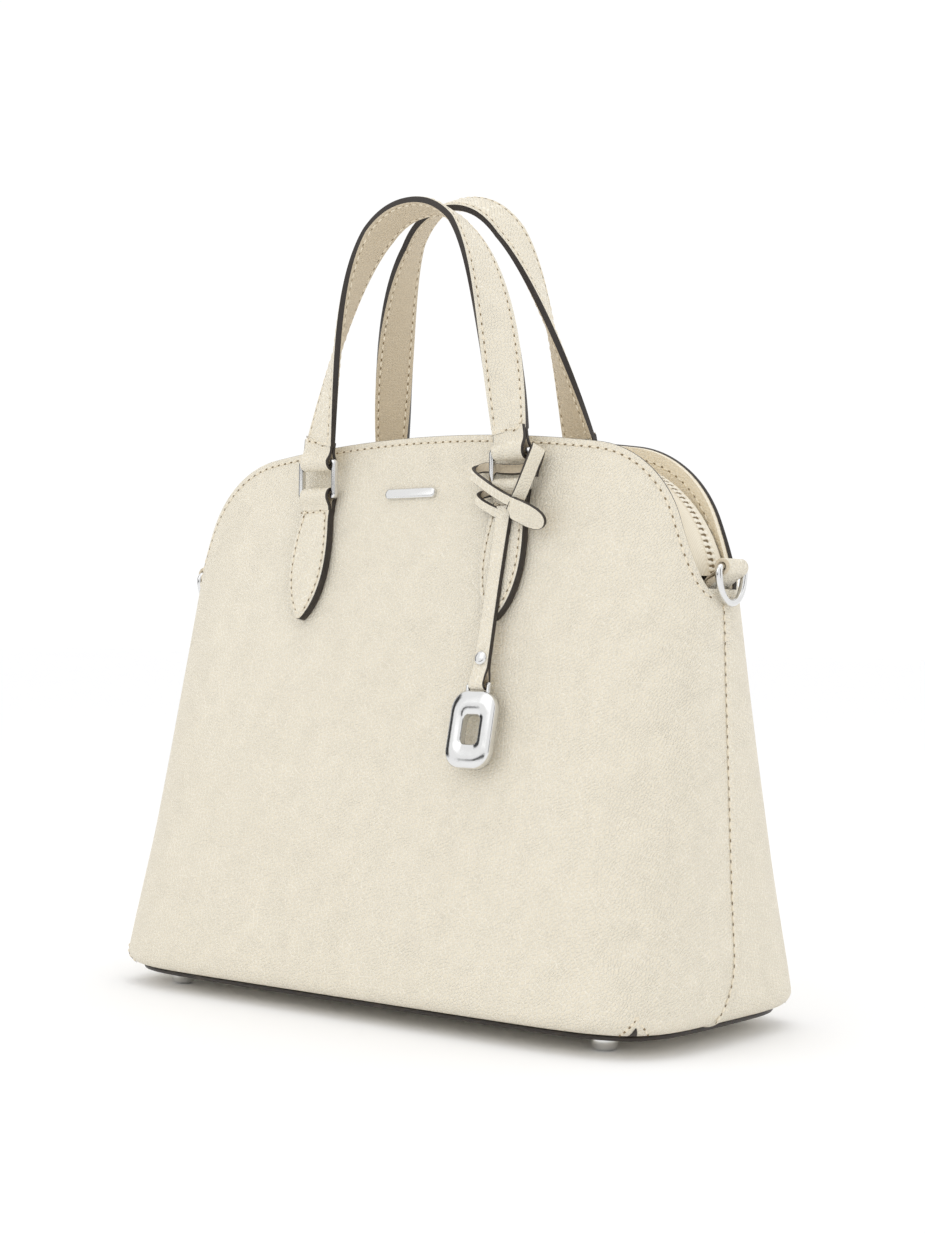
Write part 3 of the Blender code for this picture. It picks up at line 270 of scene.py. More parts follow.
def pebbled_leather(name, colour, light, depth=0.00045, roughness=0.46, round_body=False):
    """Pebble grain in slanting rows, lighter between the grains, partly printed tone and partly painted highlight on
    the pebbles' edges; the rows can run round the body.
    """
    finish, place = start_finish(name, roughness)
    wander = finish.node("ShaderNodeTexNoise", {}, {"Vector": place, "Scale": 60, "Detail": 1.0}).outputs["Color"]
    drift = finish.node("ShaderNodeVectorMath", {"operation": "SCALE"}, {0: wander, "Scale": 0.0040}).outputs[0]
    shifted = finish.node("ShaderNodeVectorMath", {"operation": "ADD"}, {0: place, 1: drift}).outputs[0]
    x, y, z = [Reading(finish, part) for part in finish.node("ShaderNodeSeparateXYZ", {}, {0: shifted}).outputs]
    if round_body:
        surface = z * ((MOUTH_DEPTH - BASE_DEPTH) / 2 / BODY_HEIGHT) + BASE_DEPTH / 2
        across = x + (x * 20).above(-1.0).below(1.0) * (surface - y.size() - 0.005).above(0.0)
        rise = z - across * GRAIN_SLANT
    else:
        across, rise = x + y, z + (x - y) * GRAIN_SLANT
    rows = finish.node("ShaderNodeCombineXYZ", {}, {0: across, 1: rise * 1.2, 2: 0.0}).outputs[0]
    reach = finish.number("ShaderNodeTexVoronoi", {"feature": "DISTANCE_TO_EDGE", "voronoi_dimensions": "2D"},
                          {"Vector": rows, "Scale": 1 / GRAIN, "Randomness": 0.8}, "Distance")
    edge = (reach * 3.4).below(1.0)
    pebble = edge * (2.0 - edge)
    pores, folds = finish.noise(place, 0.00042, 2.0, 0.6), finish.noise(place, 0.011, 3.0, 0.55)
    # Lighter between the pebbles: printed tone and painted highlight on the pebbles' edges.
    crease = (1.0 - pebble) + (finish.noise(place, 0.06, 3.0) - 0.5) * 0.20
    return finish.dress(finish.mixed(crease.above(0.0).below(1.0), linear(*colour), linear(*light)),
                        pebble * (0.55 + folds * 0.45) + pores * 0.08, 0.9, depth,
                        roughness + (pores - 0.5) * 0.14 + (1.0 - pebble) * 0.16)


def edge_paint(name):
    """Thick brown paint on a cut edge, a little uneven, rubbed lighter here and there."""
    finish, place = start_finish(name, 0.42)
    coat, rubbed = finish.noise(place, 0.0016, 3.0, 0.6), finish.noise(place, 0.012, 4.0, 0.65)
    worn = ((rubbed - 0.58) * 3.2).above(0.0).below(0.6)
    paint = finish.mixed(worn, linear(*EDGE_BROWN), linear(*EDGE_WORN))
    return finish.dress(paint, coat, 0.6, 0.0003, 0.34 + coat * 0.22)


panel_leather = pebbled_leather("cream_panel_leather", CREAM, CREAM_LIGHT, round_body=True)
cream_leather = pebbled_leather("cream_pebbled_leather", CREAM, CREAM_LIGHT)
brown_edge = edge_paint("brown_edge_paint")


def shares(steps):
    """Even shares from 0 to 1."""
    return [step / steps for step in range(steps + 1)]


def neighbours(line, index, closed=False):
    """Entries before and after one; at an open line's end the entry stands in for the missing one."""
    if closed:
        return line[index - 1], line[(index + 1) % len(line)]
    return line[max(index - 1, 0)], line[min(index + 1, len(line) - 1)]


def heading(line, index, closed=False):
    """Direction of a line at one of its places."""
    before, after = neighbours(line, index, closed)
    return (after - before).normalized()


def four_round(line, index):
    """Two entries on each side of the stretch that follows an entry, the ends repeated where there are none."""
    return [line[min(max(k, 0), len(line) - 1)] for k in range(index - 1, index + 3)]


class Pattern:
    """Corners and faces of one piece, laid down row by row before they become a mesh."""

    def __init__(self):
        self.places, self.faces, self.looks = [], [], []

    def row(self, points):
        first = len(self.places)
        self.places.extend(tuple(point) for point in points)
        return list(range(first, len(self.places)))

    def skin(self, rows, look=0, closed=False):
        """Faces between neighbouring rows; look is one number, or one for each face along a row."""
        for low, high in zip(rows, rows[1:]):
            for index in range(len(low) if closed else len(low) - 1):
                following = (index + 1) % len(low)
                self.cap((low[index], low[following], high[following], high[index]),
                         look if isinstance(look, int) else look[index])

    def cap(self, row, look=0):
        self.faces.append(tuple(row))
        self.looks.append(look)

    def bar(self, rows, look=0, end_look=0):
        """Solid along closed rows, with a face over each end."""
        self.skin(rows, look, closed=True)
        self.cap(rows[0], end_look)
        self.cap(rows[-1], end_look)

    def shell(self, near, far, side_look=0, end_look=0, crown=()):
        """Thin piece between two sheets of rows, with more rows over its top edge if it has a crown."""
        self.skin(near)
        self.skin(far)
        self.skin([near[-1], *crown, far[-1]], end_look)
        self.skin([far[0], near[0]], end_look)
        for side in (0, -1):
            self.skin([[row[side] for row in near], [row[side] for row in far]], side_look)
            if crown:
                self.cap([row[side] for row in (near[-1], *crown, far[-1])], side_look)

    def piece(self, name, materials, crease=50):
        """Make the object, its faces turned outwards and its real edges kept crisp."""
        mesh = bpy.data.meshes.new(name)
        mesh.from_pydata(self.places, [], self.faces)
        for material in materials:
            mesh.materials.append(material)
        mesh.polygons.foreach_set("material_index", self.looks)
        source = bmesh.new()
        source.from_mesh(mesh)
        bmesh.ops.remove_doubles(source, verts=source.verts, dist=0.000002)
        bmesh.ops.recalc_face_normals(source, faces=source.faces)
        source.to_mesh(mesh)
        source.free()
        mesh.shade_smooth()
        mesh.set_sharp_from_angle(angle=radians(crease))
        return placed(name, mesh)


def fit(item, body="bag", node=None):
    """Attach a piece to the body it goes with, and hide the CAD solid it stands for."""
    if body:
        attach(item, body)
    if node:
        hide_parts(node)


def roll_inset(z):
    """How far the rolled bottom edge draws the outline in at height z."""
    lean = 1 - min(max(z - PANEL_FOOT, 0), BOTTOM_ROLL) / BOTTOM_ROLL
    return BOTTOM_ROLL * (1 - sqrt(1 - lean * lean))


def outline_at(z):
    """Half width, half depth and the two powers of the body's outline at height z."""
    rise = z / BODY_HEIGHT
    half_width = BASE_WIDTH / 2 - END_INSET * z / END_HEIGHT - roll_inset(z)
    half_depth = (BASE_DEPTH + (MOUTH_DEPTH - BASE_DEPTH) * rise) / 2 - roll_inset(z)
    return half_width, half_depth, *(low + (high - low) * rise for low, high in zip(BASE_POWERS, TOP_POWERS))


def depth_at(x, z):
    """Distance of the leather's surface from the middle plane."""
    half_width, half_depth, power_x, power_y = outline_at(z)
    return half_depth * (1 - min(abs(x) / half_width, 1) ** power_x) ** (1 / power_y)


def width_at(y, z):
    """Distance of the leather's surface from the middle towards an end."""
    half_width, half_depth, power_x, power_y = outline_at(z)
    return half_width * (1 - min(abs(y) / half_depth, 1) ** power_y) ** (1 / power_x)


def fullness(x, y, z):
    """Level over the body that grows outwards and is one on the leather's surface."""
    half_width, half_depth, power_x, power_y = outline_at(z)
    return abs(x / half_width) ** power_x + abs(y / half_depth) ** power_y


def surface_normal(point, nudge=0.000003):
    """Outward direction of the leather's surface."""
    x, y, z = point
    return Vector((fullness(x + nudge, y, z) - fullness(x - nudge, y, z),
                   fullness(x, y + nudge, z) - fullness(x, y - nudge, z),
                   fullness(x, y, z + nudge) - fullness(x, y, z - nudge))).normalized()


DOME_END_X = width_at(END_SPAN / 2, END_HEIGHT)


def dome_arcs(radius, shoulder_radius, last_angle, top_steps, shoulder_steps):
    """Wide arc and shoulder arc from the middle to the right: x, z and angle from straight up."""
    reach = radius - shoulder_radius
    middle_x, middle_z = reach * sin(TOP_ARC_ANGLE), ARC_CENTRE_Z + reach * cos(TOP_ARC_ANGLE)
    wide = [TOP_ARC_ANGLE * share for share in shares(top_steps)[:-1]]
    tight = [TOP_ARC_ANGLE + (last_angle - TOP_ARC_ANGLE) * share for share in shares(shoulder_steps)]
    arcs = ((0, ARC_CENTRE_Z, radius, wide), (middle_x, middle_z, shoulder_radius, tight))
    return [(x + size * sin(turn), z + size * cos(turn), turn) for x, z, size, turns in arcs for turn in turns]


def top_edge(top_steps, shoulder_steps, side_steps):
    """Right half of the dome's edge from the middle to the end, as x and z."""
    reach = TOP_ARC_RADIUS - SHOULDER_RADIUS
    across, up = DOME_END_X - reach * sin(TOP_ARC_ANGLE), END_HEIGHT - ARC_CENTRE_Z - reach * cos(TOP_ARC_ANGLE)
    touch = atan2(across, up) - acos(SHOULDER_RADIUS / hypot(across, up))
    points = [(x, z) for x, z, _ in dome_arcs(TOP_ARC_RADIUS, SHOULDER_RADIUS, touch, top_steps, shoulder_steps)]
    x, z = points[-1]
    return points + [(x + (DOME_END_X - x) * share, z + (END_HEIGHT - z) * share) for share in shares(side_steps)[1:]]


def seam_place(z):
    """Where the end seam runs: in the middle, swept towards the front near the base."""
    low = max(SEAM_SWEEP_TOP - z, 0) / (SEAM_SWEEP_TOP - PANEL_FOOT)
    return -SEAM_SWEEP * min(low, 1) ** 2.2


def body_columns(top, shoulder, side, end=0):
    """Upright lines of the body from its left end to its right one: share of the width, top, end share."""
    half = [(x / outline_at(z)[0], z, 0.0) for x, z in top_edge(top, shoulder, side)]
    half += [(half[-1][0], END_HEIGHT, step / end) for step in range(1, end + 1)]
    return [(-share, height, reach) for share, height, reach in reversed(half[1:])] + half


def column_place(column, z, face=0):
    """Surface point of a column at height z, with y as a distance; a panel's face ends at its seam."""
    share, _, end = column
    x = share * outline_at(z)[0]
    y = depth_at(x, z)
    if end:
        y += (face * seam_place(z) - y) * end
        x = copysign(width_at(y, z), share)
    return x, y


def softness(x, z):
    """Slight hollows and swells of the soft panel; none at its edges or under its fittings."""
    low = min(max((z - SOFT_FOOT) / 0.05, 0), 1) * min(max((SOFT_TOP - z) / 0.06, 0), 1)
    swell = sin(x * 21 + 0.6) * sin(z * 33 + 0.4) + 0.6 * sin(x * 43 - z * 27 + 1.3)
    return low * (swell - 1) * SOFT_DEPTH


def body_point(column, z, depth, face):
    """Point on a column at a depth under the leather's surface, with the panel's softness."""
    x, y = column_place(column, z, face)
    point = Vector((x, face * y + (face * JOIN_GAP if column[2] == 1 else 0), z))
    return point - surface_normal(point) * (depth - softness(x, z))


def leather_panel(name, face):
    """One panel: outer skin, painted edge, inner skin and the flange turned in at the base."""
    columns = body_columns(*PANEL_STEPS, SEAM_STEPS)
    roll = [PANEL_FOOT + BOTTOM_ROLL * share for share in ROLL_SHARES]
    heights = [roll + [roll[-1] + (top - roll[-1]) * share for share in shares(WALL_STEPS)[1:]]
               for _, top, _ in columns]
    outer, inner = [[[body_point(column, z, depth, face) for column, z in zip(columns, level)]
                     for level in zip(*heights)] for depth in (0, PANEL_THICKNESS)]
    outer[-1] = [out.lerp(into, ROUNDED_SHARE) for out, into in zip(outer[-1], inner[-1])]
    inner[-1] = [into.lerp(out, ROUNDED_SHARE) for out, into in zip(outer[-1], inner[-1])]
    if face == FRONT:
        for out_line, in_line in zip(outer, inner):
            for side in (0, -1):
                outwards = surface_normal(out_line[side])
                onwards = (Vector((0, 1, 0)) - outwards * outwards.y).normalized() * SEAM_LAP
                in_line[side] = out_line[side] + outwards * LAP_GAP + onwards
                out_line[side] = out_line[side] + outwards * LAP_RISE + onwards
    inner[0] = [Vector((p.x, p.y, PANEL_FOOT + PANEL_THICKNESS)) for p in inner[3]]
    for index, share in enumerate(INNER_BEND, 1):
        inner[index] = [a.lerp(b, share) for a, b in zip(inner[0], inner[4])]
    half_width, half_depth = outline_at(PANEL_FOOT)[:2]
    flange = []
    for column in columns:
        x, y = column_place(column, PANEL_FOOT, face)
        flange.append(Vector((x * (1 - BOTTOM_FLANGE / half_width), face * (y * (1 - BOTTOM_FLANGE / half_depth)
                              + (JOIN_GAP if column[2] == 1 else 0)), PANEL_FOOT)))
    pattern = Pattern()
    outer_rows = [pattern.row(line) for line in [flange] + outer]
    inner_rows = [pattern.row(line) for line in [[p + Vector((0, 0, PANEL_THICKNESS)) for p in flange]] + inner]
    lips = [[a + (a - b).normalized() * EDGE_ROUNDING for a, b in zip(lines[-1], lines[-2])]
            for lines in (outer, inner)]
    crown = [pattern.row([a.lerp(b, share) for a, b in zip(*lips)]) for share in CROWN_SHARES]
    pattern.shell(outer_rows, inner_rows, 1, 1, crown)
    fit(pattern.piece(name + "_leather", [panel_leather, brown_edge]), node=name)


for face_name, face in FACES:
    leather_panel(face_name + "_panel", face)


# Seams of the panels
# One row of cream thread runs round the dome three millimetres under the painted edge, through
# panel and facing, and one down each end seam. Between stitches each awl hole is a dark spot of painted shade.
STITCH_PITCH = 0.0047
THREAD_SHARE, THREAD_WIDTH = 0.74, 0.0011
HOLE_SIZE, HOLE_SHAPE = 0.0012, (1.35, 0.85, 0.2)
TOP_SEAM_DROP, TOP_SEAM_GAP = 0.0031, 0.0032
END_SEAM_INSET, END_SEAM_TOP, END_SEAM_FOOT, END_SEAM_STEPS = 0.0017, END_HEIGHT - 0.0085, PANEL_FOOT + 0.004, 39
cream_thread = speckled("cream_thread", 0.55, linear(247, 239, 221), linear(218, 204, 178), 0.0005, 2.0, 0.6, 0.7)
# Dark spots in the awl holes: painted shade of the recessed holes.
stitch_hole_shade = speckled("stitch_hole_shade", 0.9, linear(112, 93, 66), linear(150, 131, 100), 0.0006)


def start_plan(name, inputs):
    """Plan for things set along lines: the plan, what it is given, the stops and how things lie there."""
    plan = Finish(bpy.data.node_groups.new(name, "GeometryNodeTree"))
    for way, sockets in (("INPUT", {"Geometry": "Geometry", **inputs}), ("OUTPUT", {"Geometry": "Geometry"})):
        for socket, kind in sockets.items():
            plan.tree.interface.new_socket(socket, in_out=way, socket_type="NodeSocket" + kind)
    given = plan.node("NodeGroupInput").outputs
    line = plan.node("GeometryNodeMeshToCurve", {}, {0: given["Geometry"]}).outputs[0]
    stops = plan.node("GeometryNodeResampleCurve", {"mode": "LENGTH"},
                      {"Curve": line, "Length": given["Pitch"]}).outputs[0]
    upwards = plan.node("GeometryNodeInputNamedAttribute", {"data_type": "FLOAT_VECTOR"}, {"Name": "seam_normal"})
    lie = plan.node("FunctionNodeAxesToRotation", {"primary_axis": "X", "secondary_axis": "Z"},
                    {0: plan.node("GeometryNodeInputTangent").outputs[0], 1: upwards.outputs[0]}).outputs[0]
    return plan, given, stops, lie


def set_along(plan, stops, thing, lie, material):
    """The thing at every stop, made real, in its material."""
    sown = plan.node("GeometryNodeInstanceOnPoints", {},
                     {"Points": stops, "Instance": thing, "Rotation": lie}).outputs[0]
    real = plan.node("GeometryNodeRealizeInstances", {}, {0: sown}).outputs[0]
    return plan.node("GeometryNodeSetMaterial", {}, {"Geometry": real, "Material": material}).outputs[0]


def sewing_plan():
    """Plan that sets one stitch and a dark spot of painted shade for its hole at every step along a line."""
    sizes = ("Pitch", "Thread Length", "Thread Width", "Hole Size")
    plan, given, stops, lie = start_plan("stitches", dict.fromkeys(sizes, "Float"))

    def ball(segments, rings, scale, place=(0.0, 0.0, 0.0)):
        whole = plan.node("GeometryNodeMeshUVSphere", {}, {"Segments": segments, "Rings": rings, "Radius": 0.5})
        shift, stretch = [plan.node("ShaderNodeCombineXYZ", {}, dict(enumerate(parts))).outputs[0]
                          for parts in (place, scale)]
        return plan.node("GeometryNodeTransform", {},
                         {"Geometry": whole.outputs[0], "Translation": shift, "Scale": stretch}).outputs[0]

    width, hole = given["Thread Width"], Reading(plan, given["Hole Size"])
    dot = ball(6, 4, [hole * share for share in HOLE_SHAPE], (Reading(plan, given["Pitch"]) * 0.5, 0.0, 0.0))
    marked = plan.node("GeometryNodeStoreNamedAttribute", {"data_type": "BOOLEAN", "domain": "FACE"},
                       {"Geometry": dot, "Name": "is_hole", "Value": True}).outputs[0]
    both = plan.node("GeometryNodeJoinGeometry")
    for thing in (ball(8, 5, (given["Thread Length"], width, width)), marked):
        plan.tree.links.new(thing, both.inputs[0])
    threaded = set_along(plan, stops, both.outputs[0], lie, cream_thread)
    holes = plan.node("GeometryNodeInputNamedAttribute", {"data_type": "BOOLEAN"}, {"Name": "is_hole"}).outputs[0]
    pierced = plan.node("GeometryNodeSetMaterial", {},
                        {"Geometry": threaded, "Selection": holes, "Material": stitch_hole_shade})
    plan.node("NodeGroupOutput", {}, {0: pierced.outputs[0]})
    return plan.tree


stitches = sewing_plan()


def grown(name, lines, tree, sizes):
    """Plain mesh object that a plan makes along lines of (place, outward direction)."""
    places, edges, directions = [], [], []
    for line in lines:
        edges += [(len(places) + i, len(places) + i + 1) for i in range(len(line) - 1)]
        places += [tuple(place) for place, _ in line]
        directions += [value for _, direction in line for value in direction]
    mesh = bpy.data.meshes.new(name + "_line")
    mesh.from_pydata(places, edges, [])
    mesh.attributes.new("seam_normal", "FLOAT_VECTOR", "POINT").data.foreach_set("vector", directions)
    item = placed(name, mesh)
    modifier = item.modifiers.new("plan", "NODES")
    modifier.node_group = tree
    for socket in tree.interface.items_tree:
        if socket.in_out == "INPUT" and socket.name in sizes:
            modifier[socket.identifier] = sizes[socket.name]
    bpy.context.view_layer.update()
    result = bpy.data.meshes.new_from_object(item.evaluated_get(bpy.context.evaluated_depsgraph_get()))
    item.modifiers.clear()
    item.data = result
    bpy.data.meshes.remove(mesh)
    for extra in {"is_hole", "seam_normal"}.intersection(result.attributes.keys()):
        result.attributes.remove(result.attributes[extra])
    result.shade_smooth()
    return item


def sew(name, lines, body="bag", pitch=STITCH_PITCH, size=1.0):
    """Stitches along lines on a surface, going with one body."""
    sizes = {"Pitch": pitch, "Thread Length": pitch * THREAD_SHARE,
             "Thread Width": THREAD_WIDTH * size, "Hole Size": HOLE_SIZE * size}
    fit(grown(name, lines, stitches, sizes), body)


def around(z, count=160):
    """Horizontal half outline at height z from the middle to the right end: x, y and distance along it."""
    half_width, half_depth, power_x, power_y = outline_at(z)
    points = [(0.0, half_depth, 0.0)]
    for share in shares(count)[1:]:
        turn = pi / 2 * (1 - share)
        x, y = half_width * cos(turn) ** (2 / power_x), half_depth * sin(turn) ** (2 / power_y)
        last_x, last_y, travelled = points[-1]
        points.append((x, y, travelled + hypot(x - last_x, y - last_y)))
    return points


def along_outline(z, value, known, wanted):
    """One entry of the outline at height z, found by the value of another one."""
    points = around(z)
    for first, second in zip(points, points[1:]):
        if first[known] <= value <= second[known] and second[known] > first[known]:
            share = (value - first[known]) / (second[known] - first[known])
            return first[wanted] + (second[wanted] - first[wanted]) * share
    return points[-1][wanted]


def beside(line, amount, level_ends=False):
    """Flat line at a distance from another one, on its right as it runs."""
    moved = []
    for index, (a, b) in enumerate(line):
        before, after = neighbours(line, index)
        run, rise = after[0] - before[0], after[1] - before[1]
        if level_ends and index in (0, len(line) - 1):
            run, rise = 1.0, 0.0
        moved.append((a + rise / hypot(run, rise) * amount, b - run / hypot(run, rise) * amount))
    return moved


def dome_seam_line(drop, face, depth=0.0, last_gap=TOP_SEAM_GAP):
    """Line on the body's surface at a distance under the dome's edge, from end seam to end seam."""
    total = around(END_HEIGHT)[-1][2]
    edge = [(along_outline(z, x, 0, 2), z) for x, z in top_edge(20, 16, 10)] + [(total, END_HEIGHT)]
    kept = []
    for distance, z in beside(edge, drop, level_ends=True):
        if (not kept or distance > kept[-1][0]) and distance < total - last_gap:
            kept.append((distance, z))
    half = []
    for distance, z in kept + [(total - last_gap, END_HEIGHT - drop)]:
        x = along_outline(z, distance, 2, 0)
        point = Vector((x, face * along_outline(z, distance, 2, 1), z))
        normal = surface_normal(point)
        half.append((point + normal * (softness(x, z) - depth), -normal if depth else normal))
    mirror = Vector((-1, 1, 1))
    return [(point * mirror, normal * mirror) for point, normal in reversed(half[1:])] + half


def end_seam_line(side):
    """Line down an end, just in front of the lap of the front panel."""
    line = []
    for share in shares(END_SEAM_STEPS):
        z = END_SEAM_TOP - (END_SEAM_TOP - END_SEAM_FOOT) * share
        y = seam_place(z) - END_SEAM_INSET
        point = Vector((side * width_at(y, z), y, z))
        normal = surface_normal(point)
        line.append((point + normal * (softness(point.x, z) + LAP_RISE * 0.45), normal))
    return line


for face_name, face in FACES:
    sew(face_name + "_top_seam", [dome_seam_line(TOP_SEAM_DROP, face)])
sew("end_seams", [end_seam_line(side) for _, side in SIDES])


# Corner darts
# At each corner of the base a small dart lets the panel turn under: a dark notch, for its painted
# edge and the painted shade in its gap, between two short rows of stitches.
DART_PITCH, DART_STEPS, NOTCH_STEPS = 0.0030, 8, 6
DART_APEX, DART_FEET = Vector((0.545, 0.0188)), ((0.43, 0.0118), (0.665, 0.0124))
NOTCH_HALF_WIDTH, NOTCH_HEIGHT, NOTCH_LIFTS = 0.045, 0.0056, (-0.0006, 0.0003)
CORNERS = tuple((f"{face_name}_{side_name}", side, face) for face_name, face in FACES for side_name, side in SIDES)


def corner_place(share, z, side_x, side_y, lift=0.0):
    """Point near a corner of the body: share 0 lies on the front or back, 1 on the end."""
    half_width, half_depth, power_x, power_y = outline_at(z)
    point = Vector((side_x * half_width * share ** (1 / power_x),
                    side_y * half_depth * (1 - share) ** (1 / power_y), z))
    return point + surface_normal(point) * lift


dart_lines = []
for corner, side_x, side_y in CORNERS:
    for dart_foot in DART_FEET:
        leg = [corner_place(*DART_APEX.lerp(Vector(dart_foot), share), side_x, side_y) for share in shares(DART_STEPS)]
        dart_lines.append([(point, surface_normal(point)) for point in leg])
    # The notch is dark brown for the dart's painted edge and for the painted shade in its gap.
    notch = Pattern()
    levels = [(NOTCH_HALF_WIDTH * (1 - share), PANEL_FOOT + NOTCH_HEIGHT * share) for share in shares(NOTCH_STEPS)[:-1]]
    notch.shell(*[[notch.row([corner_place(DART_APEX[0] + width * across, z, side_x, side_y, lift)
                              for across in (-1, -0.5, 0, 0.5, 1)]) for width, z in levels] for lift in NOTCH_LIFTS])
    fit(notch.piece(corner + "_dart_notch", [brown_edge]))
sew("corner_darts", dart_lines, pitch=DART_PITCH)


# Facings
# A band of the same leather, a shade browner, glued and sewn inside the dome's edge. Its upper edge
# is skived thin and left plain, and the top seam shows on it too.
FACING_THICKNESS, FACING_FOOT, FACING_STEPS = 0.0014, 0.175, 12
FIT_GAP, RUNNING_GAP, GLUE_GAP, FACING_RIPPLE = 0.0003, 0.0003, 0.00005, 0.00025
INNER_SEAM_DROP, INNER_SEAM_GAP = 0.0052, 0.016
FACING_DEPTH = PANEL_THICKNESS + FIT_GAP + FACING_THICKNESS
# Inner faces of straps, chapes and loops: the cream leather made darker and browner, painted shade.
shaded_cream_leather = pebbled_leather("cream_leather_painted_shade", (203, 189, 164), (214, 201, 178), 0.0002, 0.56)
facing_leather = pebbled_leather("cream_facing_leather", (235, 224, 202), (245, 237, 219), 0.0002, 0.56)


def facing_ripple(share, step):
    """Slight waves of the facing's inner side, none along its upper and lower edges."""
    return max(FACING_RIPPLE * sin(share * 9 + step * 0.5), -0.0002) if 0 < step < FACING_STEPS - 1 else 0


for face_name, face in FACES:
    band = Pattern()
    near_rows, far_rows = [], []
    for step in range(FACING_STEPS + 1):
        spots = [(column, FACING_FOOT + (column[1] - FACING_FOOT) * step / FACING_STEPS)
                 for column in body_columns(*PANEL_STEPS)]
        near_rows.append(band.row([body_point(column, z, PANEL_THICKNESS + GLUE_GAP, face) for column, z in spots]))
        far_rows.append(band.row([body_point(column, z, FACING_DEPTH + facing_ripple(column[0], step), face)
                                  for column, z in spots]))
    band.shell(near_rows, far_rows, 1)
    facing = band.piece(face_name + "_facing_leather", [facing_leather, brown_edge])
    fit(facing, node=face_name + "_facing")
for face_name, face in FACES:
    sew(face_name + "_facing_seam", [dome_seam_line(INNER_SEAM_DROP, face, FACING_DEPTH, INNER_SEAM_GAP)])


# Base and studs
# The base is a leather-covered plate with a thick painted edge, a stiff board above it and four
# nickelled studs riveted through both.
FOOT_HEIGHT = 0.0070
BASE_THICKNESS = 0.0024
BASE_LEVELS = ((0.0, 0.004, 0), (0.0, 0.0009, 0), (0.0002, 0.0003, 1), (0.0008, -0.0001, 1), (0.0016, -0.0001, 1),
               (0.0022, 0.0002, 1), (BASE_THICKNESS, 0.0009, 1), (BASE_THICKNESS, 0.006, 0))
STUD_X, STUD_Y = BASE_WIDTH / 2 - 0.039, BASE_DEPTH / 2 - 0.0305
STUD_PROFILE = ((0.0026, 0.0), (0.0042, 0.0002), (0.0053, 0.0010), (0.0061, 0.0024), (0.0065, 0.0042),
                (0.00645, 0.0056), (0.0062, 0.0066), (0.0058, 0.0070), (0.0020, 0.0070), (0.0020, 0.01505),
                (0.0043, 0.01505), (0.0045, 0.0152), (0.0045, 0.0156), (0.0042, 0.01585))
NICKEL, NICKEL_DULL = (0.78, 0.78, 0.775, 1.0), (0.78 * 0.93, 0.78 * 0.93, 0.775 * 0.93, 1.0)


def nickel(name, roughness):
    """Polished nickel plate with hairline scratches and a trace of fingerprints."""
    finish, place = start_finish(name, roughness, 1.0)
    stretched = finish.node("ShaderNodeMapping", {}, {"Vector": place, "Scale": (1, 1, 9), "Rotation": (0.3, 0.2, 0)})
    hair, prints = finish.noise(stretched.outputs[0], 0.0016, 3.0, 0.7), finish.noise(place, 0.009, 4.0, 0.6)
    return finish.dress(finish.mixed(prints, NICKEL, NICKEL_DULL), hair, 0.35, 0.00004,
                        roughness + prints * 0.10 + hair * 0.05)


polished_nickel = nickel("polished_nickel", 0.06)


def ring_of(radius, steps, place):
    """Points round a circle, put in place by a function of across and up."""
    return [place(radius * cos(tau * k / steps), radius * sin(tau * k / steps)) for k in range(steps)]


def base_outline(inset):
    """Closed outline of the body at its foot, drawn in by an inset."""
    half_width, half_depth = outline_at(PANEL_FOOT)[:2]
    points = [column_place(column, PANEL_FOOT) for column in body_columns(20, 18, 12, 8)]
    points = [(x * (1 - inset / half_width), -y * (1 - inset / half_depth)) for x, y in points]
    return points + [(x, -y) for x, y in reversed(points[1:-1])]


base = Pattern()
loops = [base.row([(x, y, FOOT_HEIGHT + FIT_GAP + rise) for x, y in base_outline(inset)])
         for rise, inset, _ in BASE_LEVELS]
for low, high, (_, _, look) in zip(loops, loops[1:], BASE_LEVELS[1:]):
    base.skin([low, high], look, closed=True)
base.cap(loops[0])
base.cap(loops[-1])
fit(base.piece("base_leather", [cream_leather, brown_edge]), node="base_panel")

for corner, side_x, side_y in CORNERS:
    stud = Pattern()
    rings = [stud.row(ring_of(radius, 40, lambda a, b: (side_x * STUD_X + a, side_y * STUD_Y + b, height)))
             for radius, height in STUD_PROFILE]
    stud.skin(rings, closed=True)
    for ring, height in ((rings[0], STUD_PROFILE[0][1]), (rings[-1], STUD_PROFILE[-1][1])):
        middle = stud.row([(side_x * STUD_X, side_y * STUD_Y, height)])
        for pair in zip(ring, ring[1:] + ring[:1]):
            stud.cap((*pair, *middle))
    fit(stud.piece("stud_" + corner, [polished_nickel], crease=38), node="foot_" + corner)
fibre_board = speckled("fibre_board", 0.85, linear(120, 110, 96), linear(168, 156, 138), 0.0011, 5.0, 0.7, 0.6)
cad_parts["base_board"].data.materials[0] = fibre_board


# Lining and slip pocket
# A loose tub of woven cotton twill, sewn to the facings' lower edge. A slip pocket with a folded hem
# is sewn on its back wall.
LINING_THICKNESS, CLOTH_GAP = 0.0008, 0.0006
LINING_FOOT, TUB_WALL_FOOT, LINING_TOP, TUB_STEPS = 0.0161, 0.0186, 0.173, 22
POCKET_WIDTH, POCKET_TOP, POCKET_FOOT = 0.170, 0.153, 0.063
POCKET_STEPS, POCKET_COLUMNS = 18, 24
CLOTH_RIPPLE, POCKET_SLACK, HEM_ROLL = 0.0014, 0.0012, 0.0005
POCKET_DEPTH = PANEL_THICKNESS + LINING_THICKNESS + 2 * CLOTH_GAP + POCKET_SLACK
TWILL_SHADES = (150, 134, 110), (188, 172, 146)


